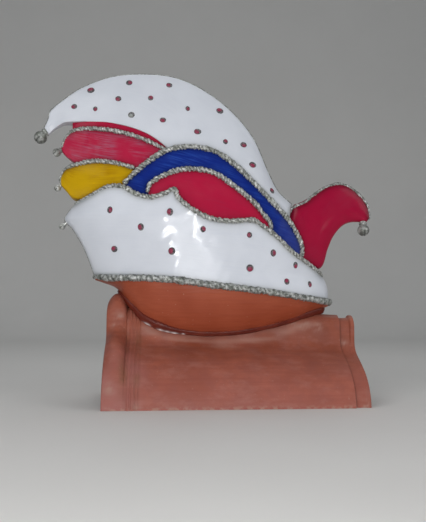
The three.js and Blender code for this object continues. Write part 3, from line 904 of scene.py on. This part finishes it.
def eased(low, high, flat, bend=7):
    """Shares 0..1 over a face and how full the thickness is there: a quarter circle over each
    rounded end, full between them. low and high are the roundings as shares."""
    low, high = np.asarray(low, float)[..., None], np.asarray(high, float)[..., None]
    turn = np.linspace(0, np.pi / 2, bend)
    middle = low + (1 - high - low) * np.linspace(0, 1, flat)[1:-1]
    shares = np.concatenate([low * (1 - np.cos(turn)), middle, 1 - high * (1 - np.cos(turn[::-1]))], -1)
    full = np.concatenate([np.sin(turn), np.ones(flat - 2), np.sin(turn[::-1])])
    return shares, full


def slab(panel, along=150, up=40):
    """The near face of a slab as a grid, from its lower to its upper centre line. It is the
    half thickness at each point, rounded off at all four edges, plus a little unevenness."""
    length = panel["upper"].length
    rounding = panel.get("rounding", (5, 5, 4, 3))
    s, full_s = eased(rounding[0] / length, rounding[1] / length, along)
    height = np.linalg.norm(panel["upper"](s) - panel["lower"](s), axis=-1) + 1e-6
    t, full_t = eased(np.minimum(rounding[2] / height, 0.45), np.minimum(rounding[3] / height, 0.45), up)
    s = np.broadcast_to(s[:, None], t.shape)
    xz = face_point(panel, s, t)
    half = panel["half"](s, t, xz[..., 0], xz[..., 1])
    half = half * np.outer(full_s, full_t)
    face = np.stack([xz[..., 0], -half, xz[..., 1]], -1)
    bumps = unevenness(face, 60, panel["seed"]) * 0.7 + unevenness(face, 18, panel["seed"] + 1) * 0.15
    face[..., 1] -= bumps * np.clip(half / 6, 0, 1)
    uv = np.stack([s * length, t * height[:, None]], -1) * 0.001
    return face, uv


def mirror_grid(face):
    """A near face and its mirror image as one ring of columns that closes on itself."""
    far = (face * [1, -1, 1])[:, ::-1]
    return np.concatenate([face, far[:, 1:]], 1)


# %% [markdown]
# The band, the crest and the tail have a thickness of their own. The other slabs follow one
# plan, each a little narrower than the one outside it.

# %% How thick the slabs are
RIDGE_HALF = 4.5


def band_half(s, t, x, z):
    """The band's plan is pointed at both ends, and its wall leans out a little upwards. The half
    thickness is 68 * (1 - u squared) to the power 0.6. u runs from -1 at the front edge to 1 at
    the back edge, as these edges lie at the height z."""
    front = np.maximum(-210 - 0.53 * (z - 188), -257 + 0.5 * (z - 277))
    back = np.interp(z, [151, 173, 190], [154, 152, 144])
    u = np.clip(2 * (x - front) / (back - front) - 1, -1, 1)
    plan = np.maximum(68 * (1 - u * u) ** 0.6, RIDGE_HALF)
    return plan * lerp(0.965, 1.03, smooth_step(170, 310, z))


def crest_half(s, t, x, z):
    """The crest is thick at its root and thins to a narrow ridge at the top. Its free tip also
    thins towards the lower edge, so that it is lens-shaped across."""
    base = np.maximum(plan_half(x, 36, **CREST_PLAN), THINNEST_HALF)
    free = 1 - smooth_step(-280, -244, x)
    return lerp(base, RIDGE_HALF, t**2.2) * lerp(1, lerp(0.6, 1, smooth_step(0, 0.6, t)), free)


def tail_half(s, t, x, z):
    """The tail is lens-shaped across, and it gets thinner towards its tip."""
    thick = lerp(24, THINNEST_HALF, s)
    return lerp(RIDGE_HALF, thick, np.sin(np.pi * np.clip(t, 0, 1)) ** 0.6)


# %% [markdown]
# The outlines of the slabs follow. Each list holds measured points in millimetres, and
# between them the curve is smooth.

# %% Outlines of the slabs
band_foot_x = np.linspace(ROPE_FRONT[0], ROPE_BACK[0], 8)
band_foot = np.stack([band_foot_x, rope_height(band_foot_x)], -1)
PANELS = {
    "white_band": {
        "lower": curve_through(band_foot),
        "upper": curve_through(
            [(-241, 299), (-214, 311), (-189, 322), (-166, 321), (-145, 309), (-124, 304)]
            + [(-103, 309), (-90, 315), (-82, 301), (-60, 284), (-34, 272), (-5, 269)]
            + [(27, 271), (45, 261), (67, 245), (92, 223), (118, 207), (144, 190)]
        ),
        "front": curve_through([ROPE_FRONT, (-226, 229), (-244, 260), (-257, 277), (-241, 299)]),
        "back": curve_through([ROPE_BACK, (152, 173), (144, 190)]),
        "half": band_half,
        "seed": 20,
    },
    "red_leaf": {
        "lower": curve_through([(-126, 285), (56, 238)]),
        "upper": curve_through(
            [(-129, 312), (-125, 325), (-108, 337), (-80, 347), (-54, 348), (-28, 342)]
            + [(0, 324), (29, 301), (45, 282), (55, 270), (57, 258)]
        ),
        "half": layer_half(59),
        "seed": 30,
    },
    "blue_leaf": {
        "lower": curve_through([(-160, 295), (102, 200)]),
        "upper": curve_through(
            [(-165, 326), (-155, 337), (-133, 357), (-105, 376), (-79, 383), (-52, 383)]
            + [(-25, 376), (2, 358), (32, 330), (60, 302), (84, 277), (100, 252)]
            + [(107, 233), (105, 218)]
        ),
        "half": layer_half(52),
        "seed": 40,
    },
    "yellow_lappet": {
        "lower": curve_through([(-263, 328), (-254, 318), (-239, 304), (-200, 300), (-140, 300)]),
        "upper": curve_through(
            [(-266, 335), (-262, 347), (-252, 355), (-236, 360), (-212, 363.5), (-191, 362.5)]
            + [(-170, 358.5), (-148, 351.5)]
        ),
        "half": layer_half(44),
        "seed": 50,
    },
    "red_lappet": {
        "lower": curve_through([(-254, 372), (-247, 366), (-234, 357), (-190, 345), (-100, 330)]),
        "upper": curve_through(
            [(-262, 393), (-257, 403), (-249, 410), (-240, 413.5), (-226, 415), (-205, 414)]
            + [(-182, 411), (-154, 404), (-126, 393), (-100, 380)]
        ),
        "front": curve_through([(-254, 372), (-260, 377.5), (-263, 385), (-262, 393)]),
        "half": layer_half(40),
        "seed": 60,
    },
    "red_lining": {
        "lower": curve_through([(-246, 405), (-207, 400), (-150, 385), (-100, 360)]),
        "upper": curve_through(
            [(-247, 428), (-232, 428.5), (-211, 428), (-183, 424.5), (-145, 415), (-126, 406.5)]
            + [(-115, 399.5), (-98, 387)]
        ),
        "half": layer_half(37.5, narrow=22.0),
        "rounding": (2, 5, 4, 3),
        "seed": 65,
    },
    "white_crest": {
        "lower": curve_through(
            [(-283, 407.5), (-275, 415), (-266, 421), (-254, 425), (-211, 424), (-183, 421.5)]
            + [(-145, 411), (-115, 395), (-80, 364), (-50, 340), (20, 292), (87, 264)]
        ),
        "upper": curve_through(
            [(-290, 418), (-284, 432.5), (-282, 442.5), (-277, 449), (-262, 462), (-235, 481)]
            + [(-189, 500), (-140, 506)]
            + [(-90, 502), (-46, 484), (-1, 451), (35, 408), (59, 354), (75, 323), (97, 302)]
        ),
        "half": crest_half,
        "rounding": (2, 5, 0.8, 3),
        "seed": 70,
    },
    "red_tail": {
        "lower": curve_through(
            [(112, 200), (142, 202), (153, 231), (162, 251), (176, 268), (192, 275), (216, 275)]
        ),
        "upper": curve_through(
            [(80, 262), (98, 299), (106, 304), (118, 310), (126, 316), (134, 322), (143, 328.5)]
            + [(156, 335), (169, 338)]
            + [(182, 335), (194, 329), (207, 318), (213, 308), (219, 296), (221, 281)]
        ),
        "half": tail_half,
        "seed": 80,
    },
}
slabs = {name: slab(panel) for name, panel in PANELS.items()}
print("Slabs:", {name: face.shape[:2] for name, (face, _) in slabs.items()})

# %% [markdown]
# ## Where the braids run
#
# A braid lies on the corner between a slab's face and its upper edge. Its path is read from
# the same functions as the slab, so it can't drift off it. The tail's braid lies on the face
# itself, along a path of its own. Each row below holds a braid's path, its radius, the length
# of one turn and how thin it gets at its two ends.

# %% Paths of the braids
BRAID_SINK = 1.0


def corner_path(name, span=(0.0, 1.0)):
    """The path along a slab's upper corner on the -Y side, in (x, y, z)."""
    panel = PANELS[name]
    s = np.linspace(*span, 300)
    xz = panel["upper"](s)
    half = panel["half"](s, np.ones_like(s), xz[:, 0], xz[:, 1])
    return np.stack([xz[:, 0], -half, xz[:, 1] - BRAID_SINK], -1)


def on_face(face, xz, trim=4):
    """The points of a near face whose (x, z) lie nearest to the ones asked for, and the
    outward normals there, from the cross product of the grid's two directions. trim is the
    number of outer rows left out, which belong to the rounding."""
    middle = face[trim : len(face) - trim, trim : face.shape[1] - trim]
    flat = middle[..., [0, 2]].reshape(-1, 2)
    found = ((flat[None] - np.asarray(xz, float)[:, None]) ** 2).sum(-1).argmin(1)
    normal = np.cross(np.gradient(middle, axis=0), np.gradient(middle, axis=1)).reshape(-1, 3)
    normal = normal / np.linalg.norm(normal, axis=1, keepdims=True)
    normal = normal * -np.sign(normal[:, 1:2])
    y = middle.reshape(-1, 3)[found, 1]
    return np.stack([np.asarray(xz)[:, 0], y, np.asarray(xz)[:, 1]], -1), normal[found]


TAIL_BRAID = curve_through(
    [(90, 284), (94, 292), (101, 298), (109, 301.5), (117.5, 305.5), (126, 313), (134, 319.5)]
    + [(150, 329.5), (164, 334.5), (175, 335), (188, 331), (200, 322), (211, 311), (217, 302)]
    + [(220, 289), (220, 279)]
)
tail_path, _ = on_face(slabs["red_tail"][0], TAIL_BRAID(np.linspace(0, 1, 160)))
braid_paths = {
    "band_braid": (corner_path("white_band"), 3.9, 13, (0.5, 0.8)),
    "red_leaf_braid": (corner_path("red_leaf"), 4.4, 12, (0.9, 0.8)),
    "blue_leaf_braid": (corner_path("blue_leaf"), 4.4, 12, (0.9, 0.8)),
    "yellow_lappet_braid": (corner_path("yellow_lappet", span=(0.12, 1)), 3.6, 11, (0.55, 0.9)),
    "red_lappet_braid": (corner_path("red_lappet", span=(0.12, 1)), 3.5, 11, (0.9, 0.9)),
    "tail_braid": (tail_path, 2.3, 9, (1.25, 0.65)),
}


def painted_crease_shade(face):
    """How close a point lies to a braid or to the rope: 1 beside it, fading over 3 mm. This is the share
    of painted shade in the paint.
    """
    lines = [path[::4, [0, 2]] for path, *_ in braid_paths.values()]
    rope_x = np.linspace(ROPE_FRONT[0], ROPE_BACK[0], 120)
    lines.append(np.stack([rope_x, rope_height(rope_x)], -1))
    line = np.vstack(lines)
    flat = face[..., [0, 2]].reshape(-1, 1, 2)
    parts = np.array_split(flat, 12)
    nearest = np.concatenate([((part - line[None]) ** 2).sum(-1).min(1) for part in parts])
    return np.exp(-np.clip(np.sqrt(nearest) - 4, 0, None) / 3).reshape(face.shape[:2])


# %% [markdown]
# ## Painted glaze
#
# The zones were painted by brush and fired to a gloss. Thin places show as streaks along the
# stroke. Beside the braids and the rope the paint is darkened as painted shade. One function
# serves all the paints. Each row of the table holds a paint's colour, its streaks' colour, its
# dark tone for the painted shade, how strong the streaks are and how strong the clear layer is.
# The reds differ, because the lappet was painted thinly and the tail thickly.

# %% Painted glaze finish
def painted_glaze(name, colour, streak, dark, streaks, gloss):
    """A paint that was fired. Its streaks are noise drawn out along the strokes, times large
    patches. The dark tone is painted shade, mixed in beside the braids and the rope by the crease mark."""
    material, tree, shader = new_finish(name, specular=0.5 * gloss + 0.02, coat=gloss)
    where = place_of(tree)
    stroke = noise(tree, strokes_of(tree, 26, 330), 1.0, 3.0, 0.6)
    thin = spread(tree, stroke, 0.42, 0.66)
    patches = spread(tree, noise(tree, where, 26.0, 3.0), 0.38, 0.66)
    share = combine(tree, "MULTIPLY", combine(tree, "MULTIPLY", thin, patches), streaks)
    deeper = tuple(c * 0.86 for c in colour)
    base = mix(tree, combine(tree, "MULTIPLY", patches, 0.25), colour, deeper)
    base = mix(tree, share, base, streak)
    # Painted shade beside the braids and the rope.
    base = mix(tree, combine(tree, "MULTIPLY", mark_of(tree, "painted_crease_shade"), 0.6), base, dark)
    rough = spread(tree, noise(tree, where, 120.0, 2.0), 0.35, 0.65, 0.28, 0.42)
    waves = combine(tree, "MULTIPLY", noise(tree, where, 60.0, 2.0), 2.0)
    relief = combine(tree, "ADD", stroke, waves)
    wire(tree, shader, base, rough, relief, 0.0004, 0.4)
    return material


GLAZES = {
    "white_glaze": ((0.62, 0.645, 0.70), (0.56, 0.59, 0.66), (0.20, 0.21, 0.20), 0.5, 0.25),
    "crimson_glaze": ((0.41, 0.005, 0.040), (0.36, 0.012, 0.05), (0.10, 0.003, 0.01), 0.6, 0.2),
    "streaky_red_glaze": ((0.42, 0.012, 0.05), (0.34, 0.082, 0.14), (0.1, 0.005, 0.01), 1.3, 0.14),
    "tail_red_glaze": ((0.32, 0.002, 0.031), (0.28, 0.012, 0.045), (0.08, 0.003, 0.01), 0.5, 0.18),
    "yellow_glaze": ((0.52, 0.31, 0.0), (0.37, 0.185, 0.0), (0.12, 0.06, 0.004), 1.1, 0.1),
    "blue_glaze": ((0.003, 0.018, 0.20), (0.014, 0.050, 0.29), (0.002, 0.005, 0.03), 1.1, 0.13),
}
PAINTS = {name: painted_glaze(name, *recipe) for name, recipe in GLAZES.items()}

# %% [markdown]
# Now every slab gets its paint. Its near face is mirrored to the far side in one grid, so the
# two halves meet in the middle plane without a seam.

# %% Paint the slabs
ZONES = {
    "white_band": ("white_glaze", "white_glaze"),
    "red_leaf": ("crimson_glaze", "crimson_glaze"),
    "blue_leaf": ("blue_glaze", "blue_glaze"),
    "yellow_lappet": ("yellow_glaze", "yellow_glaze"),
    "red_lappet": ("streaky_red_glaze", "crimson_glaze"),
    "red_lining": ("crimson_glaze", "crimson_glaze"),
    "white_crest": ("white_glaze", "white_glaze"),
    "red_tail": ("tail_red_glaze", "crimson_glaze"),
}
for zone, (finish, slot_name) in ZONES.items():
    face, uv = slabs[zone]
    shade = painted_crease_shade(face)
    grid = mirror_grid(face)
    grid_uv = np.concatenate([uv, uv[:, ::-1][:, 1:]], 1)
    grid_shade = np.concatenate([shade, shade[:, ::-1][:, 1:]], 1)
    piece = skin(zone, grid, grid_uv, {"painted_crease_shade": grid_shade})
    finish_piece(piece, PAINTS[finish], slot_name, "carnival_cap")

# %% [markdown]
# ## The braids
#
# With the paths known, each braid is a pair of twisted cords, one on either side of the cap.
# They grow thinner towards the tips of the lappets. The tail's cord is darker than the rest.

# %% Lay the braids
BRAID_DEPTH, BRAID_SEED = 0.36, 90
for number, (name, (path, radius, pitch, taper)) in enumerate(braid_paths.items()):
    manner = {"taper": taper, "seed": BRAID_SEED + number, "depth": BRAID_DEPTH}
    laid = [cord_grid(line, radius, pitch, ACROSS, **manner) for line in both_sides(path)]
    grids = np.stack([grid for grid, _ in laid])
    valleys = np.stack([valley for _, valley in laid]) * 0.85
    silver = ROPE_SILVER if name == "tail_braid" else SILVER
    finish_piece(skin(name, grids, marks={"groove": valleys}), silver, "silver_lustre", "carnival_cap")

# %% [markdown]
# ## Thin silver lines
#
# The outer rim of the crest and the front edge of the band were only drawn over with a thin
# raised line of silver. The lappets' braids run out into such a line round their tips. These
# are cords of about three millimetres, half sunk into the slab.

# %% Thin lines along the crest, the band's front and the lappets' tips
def outline_line(name, curve, low, high, radius, seed, inset=0.4, face=None):
    """A thin cord along the share low..high of an outline curve. It lies in the middle plane,
    or as a pair on a slab's near face and its mirror image, on the slab's rounding."""
    xz = curve(np.linspace(low, high, 300)) + [inset, 0]
    path = np.stack([xz[:, 0], xz[:, 0] * 0, xz[:, 1]], -1)
    if face is not None:
        path = on_face(face, xz, 0)[0]
        path[15:-15, 1] = np.convolve(path[:, 1], np.ones(31) / 31, "valid")
    lines = [path] if face is None else both_sides(path)
    laid = [cord_grid(p, radius, 8, ACROSS, seed=seed, around=12, depth=0.25) for p in lines]
    grids = np.stack([grid for grid, _ in laid])
    valleys = np.stack([valley for _, valley in laid])
    piece = skin(name, grids, marks={"groove": valleys * 0.5 + 0.2})
    finish_piece(piece, SILVER, "silver_lustre", "carnival_cap")


CREST_LINE, BAND_LINE, TIP_LINE = 1.5, 1.3, 1.7
LAPPET_TIPS = {
    "red_lappet_line": [(-240, 412), (-249, 408.5), (-256, 402), (-261, 393), (-262, 386)],
    "yellow_lappet_line": [(-240, 358), (-253, 354), (-261, 346.5), (-265, 337), (-263.5, 329)],
}
outline_line("crest_line", PANELS["white_crest"]["upper"], 0, 1, CREST_LINE, 120, inset=0)
outline_line("band_front_line", PANELS["white_band"]["front"], 0.02, 0.98, BAND_LINE, 121)
for number, (name, points) in enumerate(LAPPET_TIPS.items()):
    near_face = slabs[name.replace("_line", "")][0]
    outline_line(name, curve_through(points), 0, 1, TIP_LINE, 130 + number, 1.2, near_face)

# %% [markdown]
# ## Studs
#
# The crest and the band are set with small red studs in dark silver rings, and one stud is
# grey. A stud is a disc whose height over its radius is a low dome inside and a round ring
# outside. All studs are made at once: the disc is multiplied out to every place, along the two
# directions of the surface there, and raised along its normal.

# %% The studs and their finish
CREST_STUDS = [(-218, 476), (-159, 488.5), (-97, 486), (-243, 449.5), (-210, 444.5), (-175, 460.5)]
CREST_STUDS += [(-125.5, 462), (-106.5, 426), (-68.5, 446.5), (-18, 447), (-53.5, 409)]
CREST_STUDS += [(-10.5, 395), (18.5, 392.5), (32, 360.5), (62.5, 321)]
SILVER_STUDS = [(-154.5, 434)]
BAND_STUDS = [(-184, 285), (-95.5, 280.5), (-138, 259), (-47, 255.5), (-177.5, 227.5), (-92.5, 223.5)]
BAND_STUDS += [(22, 248), (22.5, 199), (58.5, 222), (94, 204.5), (79.5, 179.5), (117.5, 176)]
STUD_SINK, STUD_DEPTH = 0.1, 0.5


def stud_grids(face, places, radius, seed, widths):
    """Discs at places on a face. Their height is a dome inside two thirds of the radius and a
    ring outside it. Each disc is an oval: its extent up the face, as a share of that along it,
    lies within widths. The ring is full on one side and thin on the other, so the mark of the
    metal is a wave over the angle."""
    centre, normal = on_face(face, places)
    rng = np.random.default_rng(seed)
    second = np.cross(normal, UP)
    second /= np.linalg.norm(second, axis=1, keepdims=True)
    first = np.cross(second, normal)
    rho, angle = np.linspace(0, 1, 13), np.linspace(0, 2 * np.pi, 21)
    dome = 0.36 * np.sqrt(np.clip(1 - (rho / 0.66) ** 2, 0, 1))
    ring = 0.30 * np.sqrt(np.clip(1 - ((rho - 0.8) / 0.2) ** 2, 0, 1))
    height = np.maximum(dome, ring) - STUD_SINK
    height[-1] = -STUD_DEPTH
    size = radius * rng.uniform(0.88, 1.14, (len(centre), 1, 1, 1))
    oval = rng.uniform(*widths, (len(centre), 1, 1, 1))
    turn = rng.uniform(0, 2 * np.pi, (len(centre), 1, 1))
    flat = rho[:, None, None] * np.cos(angle)[None, :, None] * first[:, None, None]
    flat = flat + oval * rho[:, None, None] * np.sin(angle)[None, :, None] * second[:, None, None]
    raised = height[:, None, None] * normal[:, None, None]
    grids = centre[:, None, None] + size * (flat + raised)
    back = centre[:, None, None] - size * STUD_DEPTH * normal[:, None, None]
    closed = np.concatenate([grids, np.broadcast_to(back, grids[:, :1].shape)], 1)
    metal = smooth_step(0.35, 0.8, rho[None, :, None] + 0.32 * np.sin(angle + turn))
    return closed, np.concatenate([metal, metal[:, -1:]], 1)


def stud_finish(name, gem):
    """Dark silver on the ring and worn paint on the dome, split by the mark."""
    material, tree, shader = new_finish(name)
    where = place_of(tree)
    blotches = spread(tree, noise(tree, where, 500.0, 2.0), 0.35, 0.65)
    metal = mix(tree, blotches, (0.03, 0.028, 0.032), (0.20, 0.19, 0.195))
    gem_patches = spread(tree, noise(tree, where, 420.0, 2.0), 0.42, 0.6)
    gem = mix(tree, combine(tree, "MULTIPLY", gem_patches, 0.45), gem, (0.16, 0.13, 0.14))
    colour = mix(tree, mark_of(tree, "rim"), gem, metal)
    rough = spread(tree, blotches, 0.0, 1.0, 0.2, 0.4)
    wire(tree, shader, colour, rough, blotches, 0.0002, 0.5)
    return material


def both_grids(parts):
    """Adds the mirror image of every grid and of its marks."""
    grids, rim = parts
    return np.concatenate([grids, grids * [1, -1, 1]]), np.concatenate([rim, rim])


RED_STUD = stud_finish("red_stud", (0.29, 0.02, 0.065))
GREY_STUD = stud_finish("grey_stud", (0.3, 0.33, 0.31))
crest_face, band_face = slabs["white_crest"][0], slabs["white_band"][0]
red_parts = [
    stud_grids(crest_face, CREST_STUDS, 4.7, 5, (0.85, 1.3)),
    stud_grids(band_face, BAND_STUDS, 5.4, 7, (0.7, 1.0)),
]
red_parts = [np.concatenate(group) for group in zip(*red_parts)]
grids, rim = both_grids(red_parts)
finish_piece(skin("red_studs", grids, marks={"rim": rim}), RED_STUD, "crimson_glaze", "carnival_cap")
grids, rim = both_grids(stud_grids(crest_face, SILVER_STUDS, 5.2, 8, (0.9, 1.1)))
finish_piece(skin("grey_stud", grids, marks={"rim": rim}), GREY_STUD, "silver_lustre", "carnival_cap")

# %% [markdown]
# ## Bells
#
# A small round bell hangs from every tip. It is a solid of revolution round the line from its
# centre to the tip: a ball, a thick neck and a collar. The ball has a cut mouth, which is the
# stretch near the far pole where the surface is pushed in a little and darkened as painted
# shade. The two large bells have tarnished more than the small ones.

# %% The bells
BELLS = [
    ((-295.5, 403.5), 10.1, (-284, 416)),
    ((-270.5, 380.3), 6.6, (-260, 386)),
    ((-268.5, 324.5), 5.3, (-260, 333)),
    ((-261, 265), 5.0, (-250, 275)),
    ((211.5, 262.5), 9.3, (210.5, 279)),
]


def bell_grid(centre, radius, tip):
    """Rings round the axis. The radius over the way is a circle for the ball, then a neck."""
    axis = np.array([tip[0] - centre[0], 0, tip[1] - centre[1]], float)
    reach = np.linalg.norm(axis)
    axis /= reach
    other = np.cross(axis, ACROSS)
    turn = np.linspace(0, np.pi * 0.8, 30)
    way = np.concatenate([-np.cos(turn) * radius, np.linspace(0.86, 0.96, 3)[1:] * radius])
    size = np.concatenate([np.sin(turn) * radius, [0.62 * radius, 0.68 * radius]])
    way = np.concatenate([way, [radius * 1.18, radius * 1.22, reach, reach]])
    size = np.concatenate([size, [0.68 * radius, 0.6 * radius, 0.55 * radius, 0]])
    angle = np.linspace(0, 2 * np.pi, 33)
    # The mouth is dented a little and darkened as painted shade.
    mouth_dent_and_shade = np.exp(-((np.sin(angle)[None] * size[:, None] / radius / 0.12) ** 2))
    mouth_dent_and_shade = mouth_dent_and_shade * smooth_step(0.1, -0.15, way[:, None] / radius)
    size = size[:, None] * (1 - 0.1 * mouth_dent_and_shade)
    along = way[:, None] * (1 - 0.1 * mouth_dent_and_shade * (way[:, None] < 0))
    spokes = np.cos(angle)[None, :, None] * ACROSS + np.sin(angle)[None, :, None] * other
    place = np.array([centre[0], 0, centre[1]])
    return place + along[..., None] * axis + size[..., None] * spokes, mouth_dent_and_shade


LARGE_BELLS, LARGE_BELL_TARNISH = [0, -1], 0.3
made = [bell_grid(*bell) for bell in BELLS]
bell_grids = np.stack([grid for grid, _ in made])
bell_mouth_shade_and_tarnish = np.stack([mouth_shade_mark for _, mouth_shade_mark in made])
# Painted shade in the mouths; the large bells are also darker overall from tarnish.
bell_mouth_shade_and_tarnish[LARGE_BELLS] = np.clip(bell_mouth_shade_and_tarnish[LARGE_BELLS] + LARGE_BELL_TARNISH, 0, 1)
bells = skin("cap_bells", bell_grids, marks={"groove": bell_mouth_shade_and_tarnish})
finish_piece(bells, BELL_SILVER, "silver_lustre", "carnival_cap")

# %% [markdown]
# ## Floor
#
# The part stands on a plain pale floor that curves up behind it, so that no edge shows there.
# The floor is one open sheet, made with the same helper as the pieces.

# %% Floor
def floor_grid():
    """A flat sheet that bends up behind the part over a quarter circle."""
    bend = np.linspace(0, np.pi / 2, 16)[1:]
    depth = np.concatenate([np.linspace(-2600, 1500, 20), 1500 + 700 * np.sin(bend), [2200]])
    height = np.concatenate([np.zeros(20), 700 * (1 - np.cos(bend)), [3200]])
    width = np.linspace(-4000, 4000, 12)
    x, y = np.meshgrid(width, depth, indexing="ij")
    return np.stack([x, y, np.broadcast_to(height - 0.2, x.shape)], -1)


def pale_floor():
    """A matt, nearly white paint with a very faint mottle."""
    material, tree, shader = new_finish("pale_floor")
    where = place_of(tree)
    mottle = noise(tree, where, 6.0, 2.0)
    colour = mix(tree, mottle, (0.70, 0.69, 0.67), (0.74, 0.73, 0.71))
    rough = spread(tree, mottle, 0.3, 0.7, 0.7, 0.85)
    wire(tree, shader, colour, rough, mottle, 0.0001, 0.1)
    return material


floor = skin("floor", floor_grid())
floor.data.materials.append(pale_floor())

# %% [markdown]
# ## Light
#
# A large soft lamp from the upper left, a weaker one from the right, one near the camera and
# one above give the soft shading. Two very small ones near the camera are there for the bright
# glints on the glossy paint.

# %% Lights
def lamp(name, at, toward, size, power):
    """A square area lamp at a place in metres that looks towards a point."""
    data = bpy.data.lights.new(name, "AREA")
    data.size = size
    data.energy = power
    made = bpy.data.objects.new(name, data)
    bpy.context.scene.collection.objects.link(made)
    made.location = at
    direction = np.asarray(toward, float) - np.asarray(at, float)
    tilt = math.atan2(math.hypot(direction[0], direction[1]), -direction[2])
    turn = math.atan2(direction[1], direction[0]) - math.pi / 2
    made.rotation_euler = (tilt, 0, turn)


MIDDLE = (0.0, 0.0, 0.25)
lamp("softbox_left", (-1.3, -1.2, 1.35), MIDDLE, 1.3, 10.8)
lamp("softbox_right", (1.5, -1.0, 0.9), MIDDLE, 1.2, 8)
lamp("front_lamp", (-0.06, -1.3, 0.06), MIDDLE, 0.5, 7.6)
lamp("glint_left", (-0.29, -1.1, 0.155), MIDDLE, 0.05, 0.9)
lamp("glint_right", (0.045, -1.1, 0.29), MIDDLE, 0.05, 0.8)
lamp("top_lamp", (0.0, 0.6, 1.8), MIDDLE, 1.4, 5)
world = bpy.data.worlds.new("pale_room")
world.use_nodes = True
sky = world.node_tree.nodes["Background"]
sky.inputs["Color"].default_value = (0.9, 0.95, 1.0, 1)
sky.inputs["Strength"].default_value = 0.2
bpy.context.scene.world = world
bpy.context.scene.view_settings.view_transform = "Standard"
